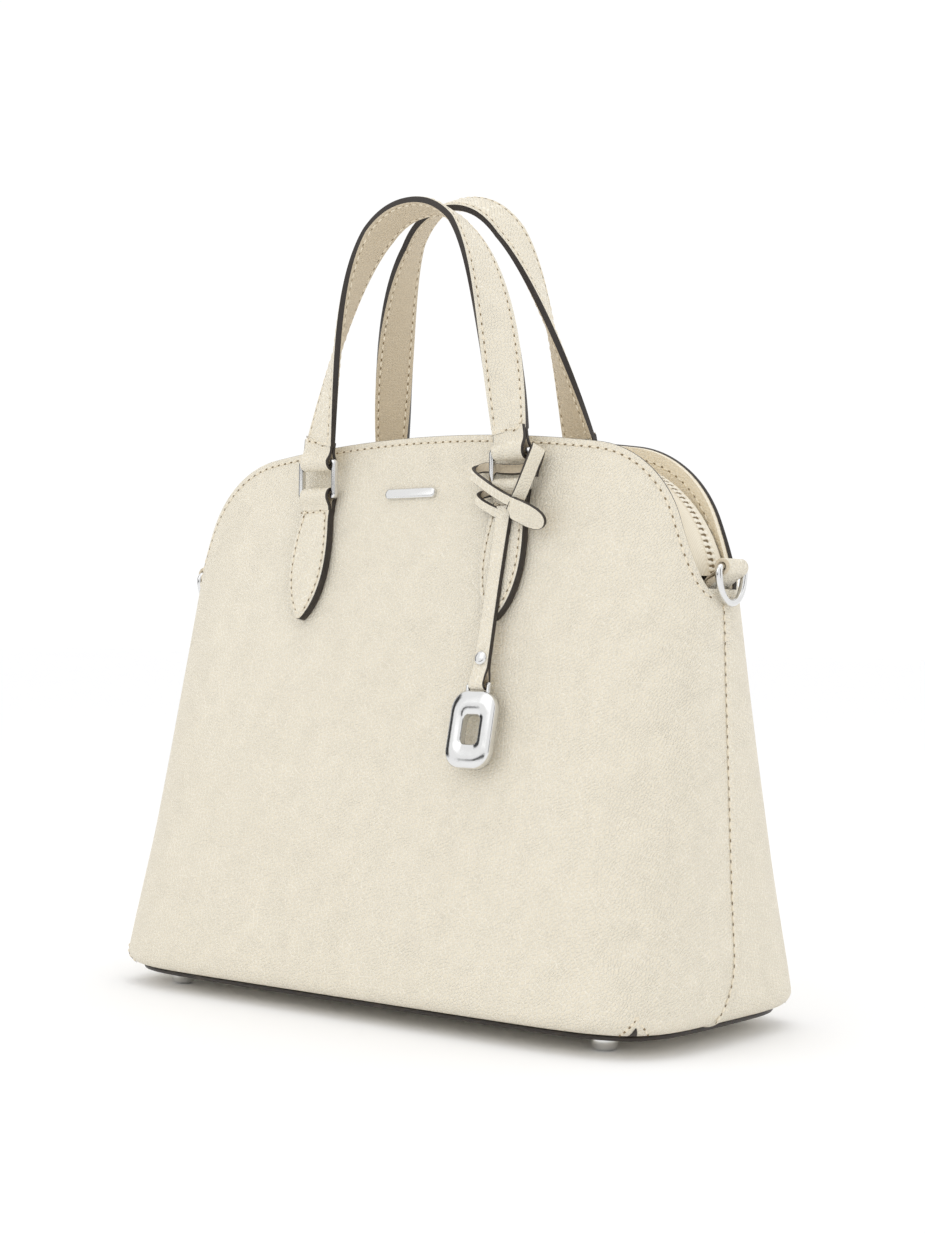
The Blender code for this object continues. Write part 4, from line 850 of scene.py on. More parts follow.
def woven(name, shades, roughness, turn, bands, scale, waver, yarn_look, share, strength, depth):
    """Cloth with fine ribs and a soft nap."""
    finish, place = start_finish(name, roughness)
    lie = finish.node("ShaderNodeMapping", {}, {"Vector": place, "Rotation": (0.0, 0.0, turn)}).outputs[0]
    ribs = finish.number("ShaderNodeTexWave", {"wave_type": "BANDS", "bands_direction": bands},
                         {"Vector": lie, "Scale": scale, "Distortion": waver, "Detail": 1.0}, "Fac")
    height = ribs * share + finish.noise(place, *yarn_look) * (1 - share)
    return finish.dress(finish.mixed(height, linear(*shades[0]), linear(*shades[1])), height, strength, depth)


lining_twill = woven("beige_lining_twill", TWILL_SHADES, 0.88, 0.6, "DIAGONAL", 0.55 / 0.00075, 0.6,
                     (0.0009, 3.0, 0.65), 0.7, 0.7, 0.00022)


def cloth_ring(z, depth, ripple):
    """Closed loop of lining points at one height, with its loose ripples going inwards only."""
    columns = body_columns(14, 12, 6, 5)
    points = []
    for face, order in ((FRONT, columns), (BACK, columns[-2:0:-1])):
        for column in order:
            x, y = column_place(column, z)
            point = Vector((x, face * y, z))
            wave = 0.5 + 0.5 * sin(x * 55 + z * 31 + face) * cos(z * 47 - x * 19)
            points.append(point - surface_normal(point) * (depth + CLOTH_RIPPLE * ripple * wave))
    return points


tub = Pattern()
tub_levels = [(LINING_FOOT, 0.0046, 0.0), (LINING_FOOT + 0.0006, 0.0024, 0.0), (TUB_WALL_FOOT, 0.0005, 0.2)]
tub_levels += [(TUB_WALL_FOOT + (LINING_TOP - TUB_WALL_FOOT) * share, 0.0, sin(pi * share))
               for share in shares(TUB_STEPS)[1:]]
outside, inside = [[tub.row(cloth_ring(z + (thickness if z == LINING_FOOT else 0),
                                       PANEL_THICKNESS + CLOTH_GAP + inset + thickness, ripple))
                    for z, inset, ripple in tub_levels] for thickness in (0.0, LINING_THICKNESS)]
for rows in (outside, inside, [outside[-1], inside[-1]]):
    tub.skin(rows, closed=True)
for loop in (outside[0], inside[0]):
    half_count = len(loop) // 2
    tub.skin([loop[:half_count + 1], loop[:1] + loop[:half_count - 1:-1]])
fit(tub.piece("lining_cloth_tub", [lining_twill]), node="lining")

pocket = Pattern()
pocket_near, pocket_far = [], []
for step in range(POCKET_STEPS + 1):
    z = POCKET_FOOT + (POCKET_TOP - POCKET_FOOT) * step / POCKET_STEPS
    near_line, far_line = [], []
    for across in range(POCKET_COLUMNS + 1):
        u = 2 * across / POCKET_COLUMNS - 1
        x = u * POCKET_WIDTH / 2 / outline_at(POCKET_TOP)[0] * outline_at(z)[0]
        point = Vector((x, depth_at(x, z), z))
        edge = max(min((1 - abs(u)) * 8, step / 2, 1), 0)
        hem = HEM_ROLL if step > POCKET_STEPS - 2 else 0
        bag_out = POCKET_SLACK * edge * (0.55 + 0.45 * sin(x * 60 + z * 40)) + hem
        near_line.append(point - surface_normal(point) * POCKET_DEPTH)
        far_line.append(point - surface_normal(point) * (POCKET_DEPTH + LINING_THICKNESS + bag_out))
    pocket_near.append(pocket.row(near_line))
    pocket_far.append(pocket.row(far_line))
pocket.shell(pocket_near, pocket_far)
fit(pocket.piece("slip_pocket_cloth", [lining_twill]), node="inner_pocket")
hem_path = [(POCKET_STEPS - 1, across) for across in range(1, POCKET_COLUMNS)]
edge_path = [(step, 1) for step in range(POCKET_STEPS, 0, -1)] + [(1, across) for across in range(2, POCKET_COLUMNS)]
edge_path += [(step, POCKET_COLUMNS - 1) for step in range(2, POCKET_STEPS + 1)]
sew("pocket_seams", [[(Vector(pocket.places[pocket_far[step][across]]), Vector((0, -1, 0))) for step, across in path]
                     for path in (hem_path, edge_path)])


# Zip
# A moulded zip: chunky cream resin elements clamped on the beaded edges of two woven tapes that bow
# up between the facings. The nickelled slider parks at the left end of the wide arc.
ZIP_RADIUS, ZIP_SHOULDER_RADIUS, ZIP_END_ANGLE = 0.754, SHOULDER_SPAN * 1.06, radians(83)
TAPE_FALL, TAPE_FLAT, TAPE_GAP, NARROW_TAPE = 0.55, 0.0056, 0.0009, 0.0075
HALF_TAPE = 0.00045
CORD_SECTION = ((0.00025, 0.0007), (0.0006, 0.0010), (0.0012, 0.0010), (0.0017, 0.0006), (0.0022, HALF_TAPE))
ELEMENT_PITCH, ELEMENT_BEVEL = 0.0030, 0.00028
ELEMENT_BLOCKS = ((0.0007, 0.0034, 0.0021, 0.0024), (-0.0006, 0.0010, 0.00144, 0.00224))
TAPE_WEAVE = (0.8, 0.0, "X", 700.0, 1.0, (0.0006, 2.0, 0.6), 0.6, 0.6, 0.00015)
zip_tape_weave = woven("cream_zip_tape", ((220, 210, 189), (241, 233, 215)), *TAPE_WEAVE)
# The beaded edges under the elements are dark brown: painted shade in the gaps of the chain.
zip_bed_shade = woven("zip_bed_painted_shade", ((112, 94, 68), (150, 132, 102)), *TAPE_WEAVE)
zip_resin = speckled("cream_zip_resin", 0.32, linear(232, 224, 206), linear(243, 236, 220), 0.002,
                     strength=0.3, depth=0.0001)


def zip_line(steps):
    """Line of the zip from its left end to its right one: place and upward direction."""
    half = dome_arcs(ZIP_RADIUS, ZIP_SHOULDER_RADIUS, ZIP_END_ANGLE, steps, steps)
    whole = [(-x, z, -angle) for x, z, angle in reversed(half[1:])] + half
    return [(Vector((x, 0, z)), Vector((sin(angle), 0, cos(angle)))) for x, z, angle in whole]


def tape_reach(point):
    """How far the tape reaches sideways before it meets the facing."""
    depth = depth_at(point.x, point.z)
    normal = surface_normal((point.x, depth, point.z))
    return max(depth - (FACING_DEPTH + TAPE_GAP) / normal.y, NARROW_TAPE)


for face_name, face in FACES:
    tape = Pattern()
    rings = []
    for centre, up in zip_line(30):
        fall = TAPE_FALL * max(tape_reach(centre) - TAPE_FLAT, 0)
        outer = tape_reach(centre - up * fall)
        cord_end = CORD_SECTION[-1][0]
        spans = [cord_end + (outer - cord_end) * share for share in shares(8)[1:]]
        slope = [(y, -fall * max((y - TAPE_FLAT) / max(outer - TAPE_FLAT, 0.001), 0) ** 1.3) for y in spans]
        section = [*CORD_SECTION, *((y, rise + HALF_TAPE) for y, rise in slope),
                   *((y, rise - HALF_TAPE) for y, rise in reversed(slope)),
                   *((y, -rise) for y, rise in reversed(CORD_SECTION))]
        rings.append(tape.row([centre + up * rise + Vector((0, face * y, 0)) for y, rise in section]))
    # Faces of the beaded edge take the dark weave: painted shade between the elements.
    tape.bar(rings, [1 if k < 4 or k > len(section) - 6 else 0 for k in range(len(section))])
    half_zip = tape.piece(face_name + "_zip_tape_weave", [zip_tape_weave, zip_bed_shade])
    fit(half_zip, node=face_name + "_zip_tape")

source = bmesh.new()
for low, high, wide, tall in ELEMENT_BLOCKS:
    bmesh.ops.create_cube(source, size=1.0, matrix=Matrix.Translation((0, (low + high) / 2, 0))
                          @ Matrix.Diagonal((wide, high - low, tall, 1)))
bmesh.ops.bevel(source, geom=list(source.edges), offset=ELEMENT_BEVEL, segments=1, affect="EDGES")
element_mesh = bpy.data.meshes.new("zip_element")
source.to_mesh(element_mesh)
source.free()
element_mesh.materials.append(zip_resin)
element = placed("zip_element", element_mesh)

plan, given, stops, lie = start_plan("zip_chain", {"Pitch": "Float", "Element": "Object"})
clamped = plan.node("GeometryNodeObjectInfo", {}, {0: given["Element"]}).outputs["Geometry"]
plan.node("NodeGroupOutput", {}, {0: set_along(plan, stops, clamped, lie, zip_resin)})
for row_name, row_line, row_start in (("front_zip_elements", zip_line(60)[::-1], 0.0),
                                      ("back_zip_elements", zip_line(60), ELEMENT_PITCH / 2)):
    first_place = row_line[0][0]
    while (row_line[0][0] - first_place).length < row_start:
        row_line.pop(0)
    fit(grown(row_name, [row_line], plan.tree, {"Pitch": ELEMENT_PITCH, "Element": element}))
bpy.data.objects.remove(element)
for metal_node in ("zip_slider", "zip_slider_underside", "zip_puller"):
    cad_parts[metal_node].data.materials[0] = polished_nickel


# End loops and D-rings
# A folded strip of the cream leather is sewn in behind each end of the dome and holds a D-ring of
# round nickelled wire, for a shoulder strap.
D_WIRE, D_INNER_WIDTH, D_DROP, D_CORNER = 0.0034, 0.018, 0.0165, 0.0030
D_PIVOT_X, D_PIVOT_RISE = END_WIDTH / 2 + 0.0034, 0.010
TAB_THICKNESS, TAB_HALF_WIDTH, TAB_WALL = 0.0036, 0.0086, 0.0020
TAB_START, TAB_STOP, TAB_BOW, TAB_SWELL = radians(208), radians(-62), 0.0006, 0.0008
TAB_FOOT = Vector((END_WIDTH / 2 - PANEL_THICKNESS - 2 * CLOTH_GAP - D_PIVOT_X, FIT_GAP - D_PIVOT_RISE))
TAB_ROOT = (((0.0, -0.005), (-0.00162, -0.0006)), ((0.0, -0.010), (-0.00162, -0.0048)),
            ((-TAB_THICKNESS, -0.010), (-0.00198, -0.0048)), ((-TAB_THICKNESS, -0.002), (-0.0016, 0.0038)))
# Outer faces cream, inner faces in the darker copy that paints their shade, cut edges painted brown.
STRAP_LOOKS = [cream_leather, shaded_cream_leather, brown_edge]


def tube(pattern, line, radius, sides=20, closed=True):
    """Round wire along a closed or open line."""
    rings = []
    for index, point in enumerate(line):
        along = heading(line, index, closed)
        first = along.cross(Vector((1, 0, 0)) if abs(along.x) < 0.7 else Vector((0, 1, 0))).normalized()
        second = along.cross(first)
        rings.append(pattern.row(ring_of(radius, sides, lambda a, b: point + first * a + second * b)))
    if closed:
        pattern.skin(rings + rings[:1], closed=True)
    else:
        pattern.bar(rings)


def folded_loop(pattern, outer, inner, place, half_width, skins=(0, 1, 2), rim=0.0005):
    """Strip folded round a bar: outer and inner outlines with as many points, and painted sides."""
    shy_outer, shy_inner = [[a + (b - a).normalized() * rim for a, b in zip(one, other)]
                            for one, other in ((outer, inner), (inner, outer))]
    widths = (-half_width, rim - half_width, half_width - rim, half_width)
    sheets = [[pattern.row([place(a, b, across) for a, b in line]) for across, line in zip(widths, lines)]
              for lines in ((shy_outer, outer, outer, shy_outer), (shy_inner, inner, inner, shy_inner))]
    for rows, look in zip(sheets, skins):
        for pair, pair_look in ((rows[0:2], skins[2]), (rows[1:3], look), (rows[2:4], skins[2])):
            pattern.skin(pair, pair_look, closed=True)
    for end in (0, 3):
        pattern.skin([rows[end] for rows in sheets], skins[2], closed=True)


for side_name, side in SIDES:
    pivot = Vector((side * D_PIVOT_X, 0, END_HEIGHT + D_PIVOT_RISE))
    half = (D_INNER_WIDTH + D_WIRE) / 2
    flat_half = half - D_CORNER
    bends = ((-flat_half, D_CORNER, D_CORNER, [pi / 2 * (1 + share) for share in shares(8)[1:]]),
             (0, half, D_DROP - D_CORNER, [pi * (1 + share) for share in shares(40)[1:-1]]),
             (flat_half, D_CORNER, D_CORNER, [pi / 2 * share for share in shares(8)[:-1]]))
    wire_line = [(flat_half * (1 - 2 * share), 0) for share in shares(24)]
    wire_line += [(middle + wide * cos(turn), tall * sin(turn) - D_CORNER)
                  for middle, wide, tall, turns in bends for turn in turns]
    wire = Pattern()
    tube(wire, [pivot + Vector((0, y, z)) for y, z in wire_line], D_WIRE / 2)
    fit(wire.piece(side_name + "_d_ring_wire", [polished_nickel]), side_name + "_d_ring_body",
        side_name + "_d_ring")

    hole = D_WIRE / 2 + RUNNING_GAP
    turns = [TAB_START - (TAB_START - TAB_STOP) * share for share in shares(30)]
    outer, inner = [[Vector((radius * cos(turn), radius * sin(turn))) for turn in turns]
                    for radius in (hole + TAB_WALL, hole)]
    outer_ends, inner_ends = (outer[0], outer[-1]), (inner[0], inner[-1])
    for share in shares(8)[1:]:
        outer.append(outer_ends[1].lerp(TAB_FOOT, share) + Vector((-TAB_BOW * sin(pi * share), 0)))
        inner.append(inner_ends[1].lerp(TAB_FOOT + Vector((-0.0013, 0.0036)), share))
    for out, into in TAB_ROOT:
        outer.append(TAB_FOOT + Vector(out))
        inner.append(TAB_FOOT + Vector(into))
    for share in shares(7)[1:-1]:
        outer.append((TAB_FOOT + Vector((-TAB_THICKNESS, 0.002))).lerp(outer_ends[0], share)
                     + Vector((-1, 0.3)) * TAB_SWELL * sin(pi * share))
        inner.append((TAB_FOOT + Vector(TAB_ROOT[-1][1])).lerp(inner_ends[0], share))
    loop = Pattern()
    # The loop's sides take the darker copy too: raw edge tone and painted shade.
    folded_loop(loop, outer, inner, lambda a, b, y: pivot + Vector((side * a, y, b)), TAB_HALF_WIDTH, (0, 1, 1))
    fit(loop.piece(side_name + "_end_loop", STRAP_LOOKS), node=side_name + "_end_tab")


# Chapes
# Four leaf-shaped pieces of doubled leather, each folded round its ring's lower bar and sewn to the
# panel all round, with a row of stitches across just under the fold.
HANDLE_SPACING = 0.126
RING_BAR_HEIGHT, RING_BAR_DEPTH, RING_PIVOT_HEIGHT = 0.0026, 0.0034, 0.256
EYE_HOLE_RADIUS, EYE_WALL = hypot(RING_BAR_HEIGHT, RING_BAR_DEPTH) / 2 + RUNNING_GAP, 0.0020
EYE_RADIUS = EYE_HOLE_RADIUS + EYE_WALL
PANEL_LEAN = atan2((BASE_DEPTH - MOUTH_DEPTH) / 2, BODY_HEIGHT)
CHAPE_LENGTH, CHAPE_HALF_WIDTH, CHAPE_THICKNESS, CHAPE_FOLD = 0.0645, 0.012, 0.005, 0.0074
CHAPE_SHARES = ((0.00, 0.800), (0.20, 0.800), (0.34, 0.920), (0.50, 1.000), (0.66, 0.970), (0.80, 0.800),
                (0.90, 0.560), (0.97, 0.280), (1.00, 0.090))
CHAPE_FRONT = CHAPE_THICKNESS - EYE_RADIUS
CHAPE_STEPS, CHAPE_FOLD_TURN, CHAPE_FOLD_STEP = 44, radians(38), 0.0012
CHAPE_PITCH, CHAPE_THREAD, CHAPE_SEAM_INSET, CHAPE_CROSS_DROP = 0.0042, 0.9, 0.0023, 0.0010
STRAP_INSETS = ((0.00045, 0.0002, 0.10), (0.0011, 0.00002, 0.2), (0.0020, 0.00022, 0.34), (0.0030, -0.00005, 0.5),
                (0.0052, -0.00018, 0.72))


def ring_pivot(side, face):
    """Middle of a ring's lower bar."""
    x = side * HANDLE_SPACING / 2
    off = (EYE_RADIUS + FIT_GAP) / cos(PANEL_LEAN)
    return Vector((x, face * (depth_at(x, RING_PIVOT_HEIGHT) + off), RING_PIVOT_HEIGHT))


def leaning(pivot, face, lean=PANEL_LEAN):
    """Places a point given across, outwards and upwards from a pivot that leans with the leather."""
    turn = Matrix.Rotation(face * lean, 3, "X")
    return lambda across, out, up: pivot + turn @ Vector((across, face * out, up))


def eye_outlines(front, back, reach, tip, front_turn, back_turn, bends=7, arcs=22):
    """Side outlines of a fold round a bar, outer and inner, as outwards and distance to the strap."""
    made = []
    for radius, near, far, end, low_turn, high_turn in (
            (EYE_RADIUS, front, back, reach, front_turn, back_turn),
            (EYE_HOLE_RADIUS, (front + back) / 2 + 0.0001, (front + back) / 2 - 0.0001, tip, radians(40), radians(40))):
        start = Vector((radius * cos(low_turn), radius * sin(low_turn), 0))
        stop = Vector((-radius * cos(high_turn), radius * sin(high_turn), 0))
        reach_in = (end - start.y) * 0.45
        turns = [-low_turn + (pi + low_turn + high_turn) * share for share in shares(arcs)[1:-1]]
        line = interpolate_bezier(Vector((near, end, 0)), Vector((near, end - reach_in, 0)),
                                  start + Vector((-sin(low_turn), cos(low_turn), 0)) * reach_in, start, bends)
        line += [(radius * cos(turn), -radius * sin(turn)) for turn in turns]
        line += interpolate_bezier(stop, stop + Vector((sin(high_turn), cos(high_turn), 0)) * reach_in,
                                   Vector((far, end - reach_in, 0)), Vector((far, end, 0)), bends)
        made.append([Vector(point[:2]) for point in line])
    return made


def leaf_half_width(drop):
    """Half width of a chape at a distance below its pivot, on one smooth curve."""
    share = (drop + EYE_RADIUS) / (CHAPE_LENGTH + EYE_RADIUS)
    last = len(CHAPE_SHARES) - 2
    index = next((k for k in range(last) if share <= CHAPE_SHARES[k + 1][0]), last)
    (x0, y0), (x1, y1), (x2, y2), (x3, y3) = four_round(CHAPE_SHARES, index)
    t = min(max((share - x1) / (x2 - x1), 0), 1)
    rise_1, rise_2 = (y2 - y0) / (x2 - x0) * (x2 - x1), (y3 - y1) / (x3 - x1) * (x2 - x1)
    return CHAPE_HALF_WIDTH * ((2 * t ** 3 - 3 * t ** 2 + 1) * y1 + (t ** 3 - 2 * t ** 2 + t) * rise_1
                               + (3 * t ** 2 - 2 * t ** 3) * y2 + (t ** 3 - t ** 2) * rise_2)


def strap_across(half_width, front, back, both_faces=False, turned=0.0009):
    """Outline across a sewn strap: domed between its stitch grooves, with rounded painted edges."""
    top = [(half_width - min(inset, half_width * share), front - sink) for inset, sink, share in STRAP_INSETS]
    top += [(0.0, front + 0.00022)] + [(-a, b) for a, b in reversed(top)]
    under = [(a, front + back - b) for a, b in reversed(top)]
    if not both_faces:
        under = [(-half_width + 0.0006, back), (half_width - 0.0006, back)]
    swell = min(0.00022, half_width * 0.1)
    edge = [(-half_width - swell * 0.4, front - turned), (-half_width - swell, (front + back) / 2),
            (-half_width - swell * 0.4, back + turned)]
    side_look = [0, 2, 2, 1] if both_faces else [2] * 4
    looks = [0] * (len(top) - 1) + side_look + [1] * (len(under) - 1) + side_look[::-1]
    return top + edge + under + [(-a, b) for a, b in reversed(edge)], looks


def sewn_outline(start, inset):
    """Line inside a chape's edge, from its cross row down one side, round the tip and up the other."""
    drops = [start + (CHAPE_LENGTH - 0.0002 - start) * sin(pi / 2 * share) for share in shares(60)]
    moved = beside([(leaf_half_width(drop), drop) for drop in drops], -inset)
    moved = [(x, t) for x, t in moved if x > 0.0003 and t >= start]
    tip = max(t for _, t in moved) + 0.0002
    return [(-x, t) for x, t in moved] + [(0.0, tip)] + moved[::-1]


for face_name, face in FACES:
    chape_lines = []
    for side_name, side in SIDES:
        place = leaning(ring_pivot(side, face), face)
        chape = Pattern()
        outer, inner = eye_outlines(CHAPE_FRONT, -EYE_RADIUS, CHAPE_FOLD, CHAPE_FOLD - CHAPE_FOLD_STEP,
                                    CHAPE_FOLD_TURN, 0.0)
        folded_loop(chape, outer, inner, lambda a, b, x: place(x, a, -b), leaf_half_width(CHAPE_FOLD) - 0.0001,
                    rim=0.0004)
        rows = []
        for step in range(CHAPE_STEPS + 1):
            drop = CHAPE_FOLD + (CHAPE_LENGTH - CHAPE_FOLD) * sin(pi / 2 * step / CHAPE_STEPS) ** 0.9
            section, looks = strap_across(leaf_half_width(drop), CHAPE_FRONT, -EYE_RADIUS + 0.00005)
            near_fold = max(1 - step / 3, 0) * 0.00035
            rows.append(chape.row([place(x, out - (near_fold if out > 0 else 0), -drop) for x, out in section]))
        chape.skin(rows, looks, closed=True)
        chape.cap(rows[0], 0)
        chape.cap(rows[-1], 2)
        name = f"{face_name}_{side_name}_chape"
        fit(chape.piece(name + "_leather", STRAP_LOOKS, crease=42), node=name)
        outwards = place(0, 1, 0) - place(0, 0, 0)
        seam = [(place(x, CHAPE_FRONT + 0.00004, -t), outwards)
                for x, t in sewn_outline(CHAPE_FOLD + CHAPE_CROSS_DROP, CHAPE_SEAM_INSET)]
        chape_lines.append(seam + seam[:1])
    sew(face_name + "_chape_seams", chape_lines, pitch=CHAPE_PITCH, size=CHAPE_THREAD)


# Rings
# Rectangular rings cast in zinc and nickelled, flat bars with softened corners. Each turns in its
# chape's fold and carries one end of a handle.
RING_WINDOW_WIDTH, RING_WINDOW_HEIGHT, RING_CORNER = 0.0202, 0.015, 0.0022
RING_RISE = RING_WINDOW_HEIGHT + RING_BAR_HEIGHT


def rounded_rectangle(width, low, high, radius, steps, middle=0.0):
    """Outline with round corners, as across and up."""
    side = width / 2 - radius
    corners = ((side, high - radius), (-side, high - radius), (-side, low + radius), (side, low + radius))
    turns = [[pi / 2 * (quarter + share) for share in shares(steps)] for quarter in range(4)]
    return [Vector((middle + x + radius * cos(turn), z + radius * sin(turn)))
            for (x, z), quarter in zip(corners, turns) for turn in quarter]


for face_name, face in FACES:
    for side_name, side in SIDES:
        pivot = ring_pivot(side, face)
        low, high = -RING_BAR_HEIGHT / 2, RING_RISE + RING_BAR_HEIGHT / 2
        outer = rounded_rectangle(RING_WINDOW_WIDTH + 2 * RING_BAR_HEIGHT, low, high, RING_CORNER, 6)
        inner = rounded_rectangle(RING_WINDOW_WIDTH, low + RING_BAR_HEIGHT, high - RING_BAR_HEIGHT, RING_CORNER / 4, 6)
        ring = Pattern()
        folded_loop(ring, outer, inner, lambda a, b, y: pivot + Vector((a, y, b)), RING_BAR_DEPTH / 2, (0, 0, 0))
        name = f"{face_name}_{side_name}_ring"
        fit(ring.piece(name + "_nickel", [polished_nickel], crease=60), name + "_body", name)


# Handles
# Two straps of doubled leather, sewn along both edges, that face outwards at the rings and turn to
# lie flat over the crown. Each end is folded round its ring and closed with a slanting row.
HANDLES = (("front", FRONT, 0.1255, radians(1.8)), ("back", BACK, 0.1340, radians(10.5)))
STRAP_WIDTH, HALF_STRAP = 0.019, 0.002
LEG_LEAN, LEG_REACH_SHARE, CROWN_REACH_SHARE = radians(9), 0.70, 0.26
TWIST_LENGTH, CROWN_TURN = 0.118, radians(100)
HANDLE_FOLD, FOLD_END, FOLD_SEAM = 0.0125, 0.0112, 0.0100
FOLD_CURVE, FOLD_TURN, FOLD_SHIFT, FOLD_STEP, FOLD_LAP = 1.42, radians(36), 0.0003, 0.003, 0.0018
HANDLE_PITCH, HANDLE_THREAD = 0.0046, 0.95
STRAP_SEAM_INSET, SEAM_SINK, CROSS_SEAM_REACH = 0.0020, 0.00016, 0.0074
LEG_FOOT = Vector((HANDLE_SPACING / 2, 0, EYE_HOLE_RADIUS + EYE_WALL / 2))


def handle_stations(reach, face):
    """Places along a handle with the directions out of the outer face and across it, and the way so far."""
    crown = Vector((0, 0, reach))
    rise = Vector((-sin(LEG_LEAN), 0, cos(LEG_LEAN))) * reach * LEG_REACH_SHARE
    half = interpolate_bezier(LEG_FOOT, LEG_FOOT + rise, crown + Vector((reach * CROWN_REACH_SHARE, 0, 0)), crown, 90)
    path = [Vector((-p.x, 0, p.z)) for p in half] + half[-2::-1]
    lengths = [0.0]
    for first, second in zip(path, path[1:]):
        lengths.append(lengths[-1] + (second - first).length)
    stations = []
    for index, point in enumerate(path):
        along, outwards = heading(path, index), Vector((0, face, 0))
        travelled = min(lengths[index], lengths[-1] - lengths[index])
        turn = CROWN_TURN * min(travelled / TWIST_LENGTH, 1)
        normal = outwards * cos(turn) + along.cross(outwards) * face * sin(turn)
        stations.append((point, normal, normal.cross(along), lengths[index]))
    return stations, lengths[-1]


for face_name, face, reach, lean in HANDLES:
    hinge = Vector((0, ring_pivot(-1, face).y, RING_PIVOT_HEIGHT + RING_RISE))
    place = leaning(hinge, 1, face * lean)
    tilt = Matrix.Rotation(face * lean, 3, "X")
    stations, total = handle_stations(reach, face)
    section, looks = strap_across(STRAP_WIDTH / 2, HALF_STRAP, -HALF_STRAP, both_faces=True, turned=0.0005)
    begin = (FOLD_END - FOLD_LAP - LEG_FOOT.z) / cos(LEG_LEAN)
    kept = [entry for entry in stations if begin - 0.0006 < entry[3] < total - begin + 0.0006]
    handle = Pattern()
    handle.bar([handle.row([hinge + tilt @ (point + across * a + normal * b) for a, b in section])
                for point, normal, across, _ in kept], looks, 2)
    outer, inner = eye_outlines(HALF_STRAP + FOLD_SHIFT, FOLD_SHIFT - HALF_STRAP, FOLD_END, FOLD_END - FOLD_STEP,
                                FOLD_TURN, FOLD_TURN)
    shift = sin(LEG_LEAN) * (HANDLE_FOLD - LEG_FOOT.z)
    crossings = []
    for side, end in ((-1, 0), (1, -1)):
        def fold_place(out, up, across):
            share = max(up, 0) / HANDLE_FOLD
            slant = atan(shift / HANDLE_FOLD * FOLD_CURVE * share ** (FOLD_CURVE - 1)) if share else 0.0
            x = side * (HANDLE_SPACING / 2 - shift * share ** FOLD_CURVE) + across * cos(slant)
            return place(x, face * out, up + side * across * sin(slant))
        folded_loop(handle, outer, inner, fold_place, STRAP_WIDTH / 2)
        seam_reach = copysign(CROSS_SEAM_REACH, side * kept[end][2].x)
        crossings.append([(fold_place(HALF_STRAP + 0.0004, FOLD_SEAM, seam_reach * (1 - k / 3)),
                           tilt @ Vector((0, face, 0))) for k in range(7)])
    body = face_name + "_handle_body"
    fit(handle.piece(face_name + "_handle_leather", STRAP_LOOKS, crease=42), body, face_name + "_handle")
    seam_lines = []
    long_part = [entry for entry in kept if begin + 0.003 < entry[3] < total - begin - 0.003]
    for out, (left_row, right_row) in ((1, crossings), (-1, ([], []))):
        one, other = [[(hinge + tilt @ (point + across * edge + normal * out * (HALF_STRAP - SEAM_SINK)),
                        tilt @ (normal * out)) for point, normal, across, _ in long_part]
                      for edge in (STRAP_WIDTH / 2 - STRAP_SEAM_INSET, STRAP_SEAM_INSET - STRAP_WIDTH / 2)]
        loop_line = one + right_row + other[::-1] + left_row
        seam_lines.append(loop_line + loop_line[:1])
    sew(face_name + "_handle_seams", seam_lines, body, HANDLE_PITCH, HANDLE_THREAD)


# Slit strap round the front right ring
# The tag hangs from a strap whose upper end is hooked over the ring, drawn down through a long slit in
# its own rounded end and let hang. The slit end crosses the chape as two narrow branches.
HALF_WRAP, STRAP_RIM = 0.00105, 0.0003
SLANT = (-0.34, -0.42, -0.84)
HOOK_SLANT = (0.52, -0.72, -0.44)
UPPER_BRANCH = (
    (0.0096, -0.0029, 0.0112, 0.0024, (0.15, 0.0, -1.0)), (0.0010, -0.0031, 0.0100, 0.0024, (0.1, 0.0, -1.0)),
    (-0.0080, -0.0031, 0.0104, 0.0024, (0.0, 0.0, -1.0)), (-0.0150, -0.0029, 0.0113, 0.0024, (-0.1, 0.0, -1.0)),
    (-0.0196, -0.0021, 0.0114, 0.0025, (-0.1, 0.05, -1.0)), (-0.0226, 0.0000, 0.0100, 0.0025, (-0.1, 0.05, -1.0)),
    (-0.0228, 0.0026, 0.0078, 0.0025, (-0.15, -0.05, -1.0)), (-0.0198, 0.0046, 0.0050, 0.0026, (-0.25, -0.25, -0.9)),
    (-0.0142, 0.0058, 0.0018, 0.0026, SLANT), (-0.0060, 0.0064, -0.0028, 0.0026, SLANT),
    (0.0020, 0.0067, -0.0068, 0.0026, SLANT), (0.0068, 0.0067, -0.0090, 0.0026, SLANT),
    (0.0084, 0.0064, -0.0120, 0.0053, SLANT), (0.0125, 0.0060, -0.0138, 0.0056, SLANT),
    (0.0175, 0.0051, -0.0159, 0.0056, SLANT), (0.0212, 0.0042, -0.0174, 0.0051, SLANT),
    (0.0238, 0.0036, -0.0183, 0.0040, SLANT), (0.0253, 0.0033, -0.0188, 0.0026, SLANT),
    (0.0260, 0.0032, -0.0190, 0.0010, SLANT))
LOWER_BRANCH = (
    (-0.0100, -0.0030, 0.0000, 0.0023, (-0.1, 0.0, -1.0)), (-0.0140, -0.0028, -0.0008, 0.0023, (-0.1, 0.0, -1.0)),
    (-0.0172, -0.0018, -0.0020, 0.0024, (-0.1, 0.05, -1.0)), (-0.0186, 0.0002, -0.0038, 0.0024, (-0.1, 0.0, -1.0)),
    (-0.0174, 0.0022, -0.0062, 0.0024, (-0.2, -0.2, -0.9)), (-0.0132, 0.0030, -0.0088, 0.0024, SLANT),
    (-0.0086, 0.0027, -0.0110, 0.0024, SLANT), (-0.0052, 0.0023, -0.0127, 0.0024, (-0.34, -0.2, -0.9)),
    (-0.0030, 0.0021, -0.0138, 0.0022, (-0.34, -0.05, -0.9)))
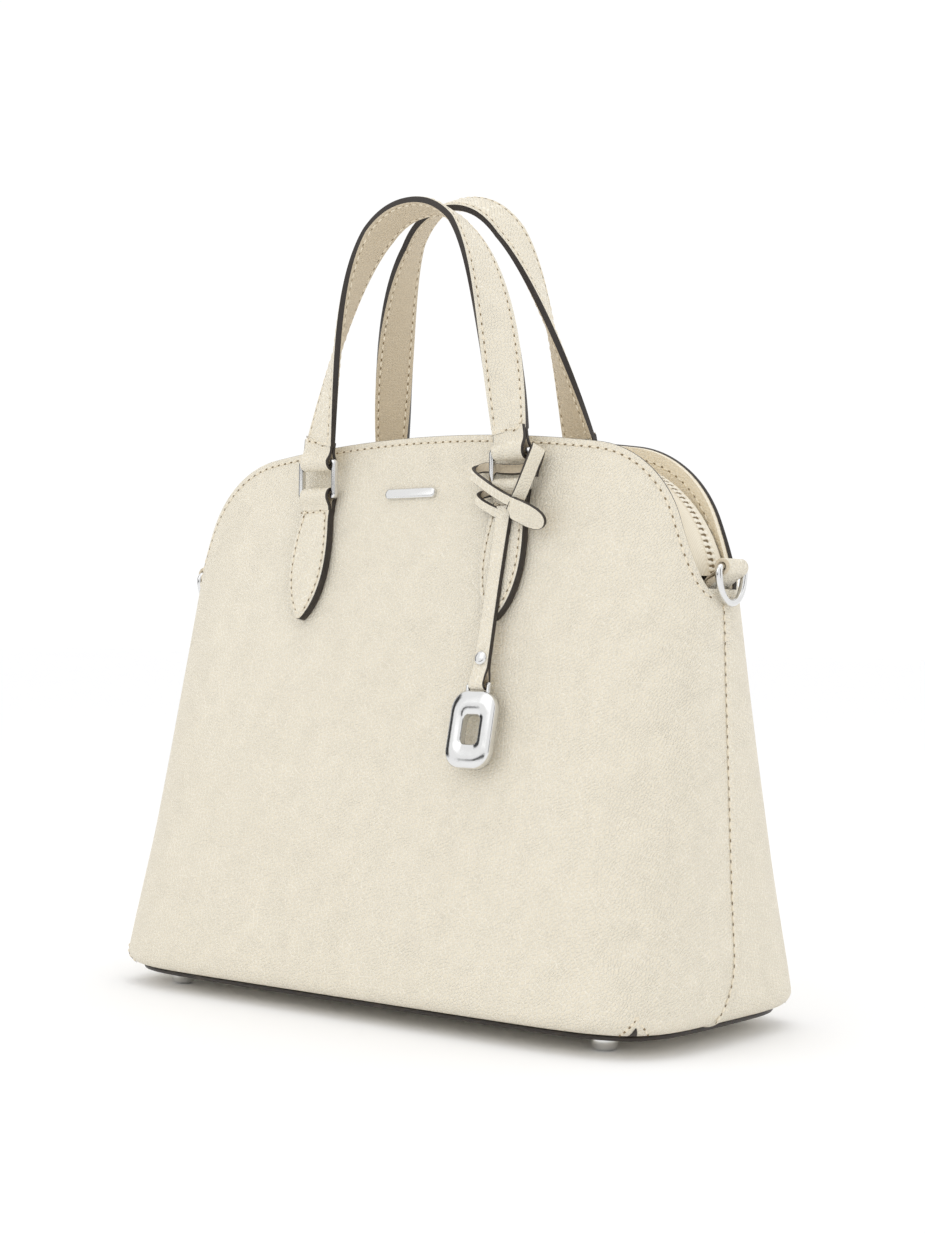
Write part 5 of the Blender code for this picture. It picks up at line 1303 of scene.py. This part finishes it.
HOOK = (
    (0.0062, 0.0040, -0.0140, 0.0036, HOOK_SLANT), (0.0086, 0.0050, -0.0088, 0.0036, HOOK_SLANT),
    (0.0113, 0.0059, -0.0034, 0.0036, (0.46, -0.76, -0.44)), (0.0139, 0.0064, 0.0036, 0.0037, (0.38, -0.82, -0.42)),
    (0.0155, 0.0061, 0.0104, 0.0037, (0.34, -0.86, -0.38)), (0.0161, 0.0049, 0.0153, 0.0037, (0.40, -0.82, -0.40)),
    (0.0153, 0.0030, 0.0179, 0.0037, (0.58, -0.68, -0.42)), (0.0134, 0.0005, 0.0174, 0.0035, (0.68, -0.60, -0.36)),
    (0.0114, -0.0017, 0.0142, 0.0032, (0.80, -0.40, -0.26)), (0.0102, -0.0025, 0.0100, 0.0028, (0.90, -0.20, -0.15)),
    (0.0100, -0.0027, 0.0062, 0.0026, (0.95, -0.10, -0.10)))
tag_place = leaning(ring_pivot(1, FRONT), FRONT)


def ribbon(pattern, stations, steps=5):
    """Flat strap end through stations of across, out, up, half width, and the edge's direction."""
    points = [Vector(entry[:3]) for entry in stations]
    dense = []
    for index in range(len(stations) - 1):
        p0, p1, p2, p3 = four_round(points, index)
        for t in shares(steps)[:-1]:
            middle = 0.5 * ((2 * p1) + (p2 - p0) * t + (2 * p0 - 5 * p1 + 4 * p2 - p3) * t ** 2
                            + (3 * p1 - p0 - 3 * p2 + p3) * t ** 3)
            (width, edge), (next_width, next_edge) = stations[index][3:], stations[index + 1][3:]
            dense.append((middle, width + (next_width - width) * t,
                          Vector(edge).lerp(Vector(next_edge), t).normalized()))
    dense.append((points[-1], stations[-1][3], Vector(stations[-1][4]).normalized()))
    rows, line = [], [middle for middle, _, _ in dense]
    for index, (middle, width, edge) in enumerate(dense):
        normal = heading(line, index).cross(edge).normalized()
        flat, side = width - min(STRAP_RIM, width * 0.4), HALF_WRAP - STRAP_RIM
        section = [(flat, HALF_WRAP), (0.0, HALF_WRAP + 0.00008), (-flat, HALF_WRAP), (-width, side), (-width, -side),
                   (-flat, -HALF_WRAP), (0.0, -HALF_WRAP), (flat, -HALF_WRAP), (width, -side), (width, side)]
        rows.append(pattern.row([tag_place(*(middle + edge * a + normal * b)) for a, b in section]))
    pattern.bar(rows, [0, 0, 2, 2, 2, 1, 1, 2, 2, 2], 2)


for strap_name, strips, node in (("slit_strap_end", (UPPER_BRANCH, LOWER_BRANCH), "charm_band"),
                                 ("ring_hook_strap", (HOOK,), None)):
    strap = Pattern()
    for strip in strips:
        ribbon(strap, strip)
    strap_piece = strap.piece(strap_name, STRAP_LOOKS, crease=42)
    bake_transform(strap_piece, "bag", "front_right_ring_body",
             start=tag_place(0.0, 0.004, -0.009), end=tag_place(0.0, 0.004, 0.004))
    fit(strap_piece, None, node)


# Hanging strap, rivet and tag
# The strap's lower end is folded round the tag's bail and closed with a double-capped rivet. The tag
# is a plain cast plate with a window, nickelled and polished.
HALF_CHARM_WIDTH, HALF_CHARM, CHARM_LENGTH = 0.0045, 0.0013, 0.077
BAIL_BAR, RIVET_RISE = 0.0022, 0.012
TAG_WIDTH, TAG_HEIGHT, TAG_THICKNESS, TAG_CORNER = 0.026, 0.037, 0.005, 0.009
TAG_WINDOW_WIDTH, TAG_WINDOW_HEIGHT = 0.010, 0.014
RIVET_PROFILE = ((0.0033, 0.0014), (0.0034, 0.0019), (0.0030, 0.0025), (0.0018, 0.00278))
SLIT_DROP, BAND_DROP, BAND_SLANT, STRAP_WAIST = 0.0095, 0.0098, radians(8), 0.0004
FOLD_WALL, BAIL_REACH, TAG_RIM = 0.0012, 0.0016, 0.0008
bail_hole = BAIL_BAR * sqrt(2) / 2 + RUNNING_GAP
fold_radius = bail_hole + FOLD_WALL
neck = 3 * fold_radius
strap_out = CHAPE_FRONT + FIT_GAP + HALF_CHARM
strap_top = -SLIT_DROP - BAND_DROP / cos(BAND_SLANT)
bail_up = strap_top - CHARM_LENGTH

hanging = Pattern()
rows = []
for share in shares(59):
    width = HALF_CHARM_WIDTH - STRAP_WAIST * sin(pi * share)
    flat, side = width - STRAP_RIM, HALF_CHARM - STRAP_RIM
    section = [(flat, HALF_CHARM), (width * 0.5, HALF_CHARM + 0.0001), (0.0, HALF_CHARM + 0.00014),
               (-width * 0.5, HALF_CHARM + 0.0001), (-flat, HALF_CHARM), (-width, side), (-width - 0.0001, 0.0),
               (-width, -side), (-flat, -HALF_CHARM), (0.0, -HALF_CHARM), (flat, -HALF_CHARM), (width, -side),
               (width + 0.0001, 0.0), (width, side)]
    up = bail_up + neck + (strap_top + SLIT_DROP - bail_up - neck) * share
    rows.append(hanging.row([tag_place(a, strap_out + b, up) for a, b in section]))
hanging.bar(rows, [0] * 4 + [2] * 4 + [1] * 2 + [2] * 4, 2)
folds = []
low = radians(25)
for radius, reach, gap in ((fold_radius, neck, HALF_CHARM), (bail_hole, neck * 0.8, 0.0001)):
    start = Vector((radius * cos(low), radius * sin(low)))
    leg = [Vector((gap + (start.x - gap) * share * share * (3 - 2 * share), reach + (start.y - reach) * share))
           for share in shares(6)[:-1]]
    turns = [-low + (pi + 2 * low) * share for share in shares(20)]
    folds.append(leg + [Vector((radius * cos(turn), -radius * sin(turn))) for turn in turns]
                 + [Vector((-point.x, point.y)) for point in reversed(leg)])
folded_loop(hanging, *folds, lambda a, b, x: tag_place(x, strap_out + a, bail_up + b), HALF_CHARM_WIDTH, rim=STRAP_RIM)
hanging_piece = hanging.piece("hanging_strap", STRAP_LOOKS, crease=42)
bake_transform(hanging_piece, "bag", "charm_strap_body", start=tag_place(0.0, strap_out, strap_top + 0.0070),
         end=tag_place(0.0, strap_out, strap_top - 0.0020))
fit(hanging_piece, None, "charm_strap")

rivet = Pattern()
for facing in (1, -1):
    rivet.bar([rivet.row(ring_of(radius, 28, lambda a, b: tag_place(a, strap_out + facing * out,
                                                                    bail_up + RIVET_RISE + b)))
               for radius, out in RIVET_PROFILE])
fit(rivet.piece("strap_rivet", [polished_nickel]), "charm_strap_body", "charm_rivet")

tag = Pattern()
shoulder = -(fold_radius + FIT_GAP + RUNNING_GAP)
middle = shoulder - TAG_HEIGHT / 2
outer = rounded_rectangle(TAG_WIDTH, shoulder - TAG_HEIGHT, shoulder, TAG_CORNER, 12)
inner = rounded_rectangle(TAG_WINDOW_WIDTH, middle - TAG_WINDOW_HEIGHT / 2, middle + TAG_WINDOW_HEIGHT / 2,
                          TAG_WINDOW_WIDTH / 4, 12)
folded_loop(tag, outer, inner, lambda a, b, out: tag_place(a, strap_out + out, bail_up + b), TAG_THICKNESS / 2,
            (0, 0, 0), TAG_RIM)
bail_x = HALF_CHARM_WIDTH + BAIL_REACH
bail_line = [(-bail_x, shoulder - 0.002), (-bail_x, shoulder), (-bail_x, -0.0008), (-bail_x + 0.0002, -0.0002),
             (-bail_x + 0.0008, 0.0)]
bail_line += [(-a, b) for a, b in reversed(bail_line)]
tube(tag, [tag_place(a, strap_out, bail_up + b) for a, b in bail_line], BAIL_BAR / 2, 16, closed=False)
fit(tag.piece("window_tag", [polished_nickel], crease=55), "charm_tag_body", "charm_tag")


# Plain bar on the front
# A short polished bar with rounded ends, pinned through the panel between the front chapes.
BAR_WIDTH, BAR_HEIGHT, BAR_CORNER = 0.0325, 0.0052, 0.0025
BAR_MIDDLE_X, BAR_MIDDLE_Z = -0.00325, 0.2556
BAR_PROFILE = ((-0.0003, 0.0), (0.0013, 0.0), (0.0018, 0.00015), (0.0021, 0.0005), (0.0022, 0.0011))
bar_place = leaning(Vector((0, -depth_at(BAR_MIDDLE_X, BAR_MIDDLE_Z), BAR_MIDDLE_Z)), FRONT)
bar = Pattern()
bar.bar([bar.row([bar_place(a, out, b) for a, b in rounded_rectangle(
    BAR_WIDTH - 2 * inset, inset - BAR_HEIGHT / 2, BAR_HEIGHT / 2 - inset, BAR_CORNER - inset, 8, BAR_MIDDLE_X)])
    for out, inset in BAR_PROFILE])
fit(bar.piece("front_bar", [polished_nickel], crease=55))
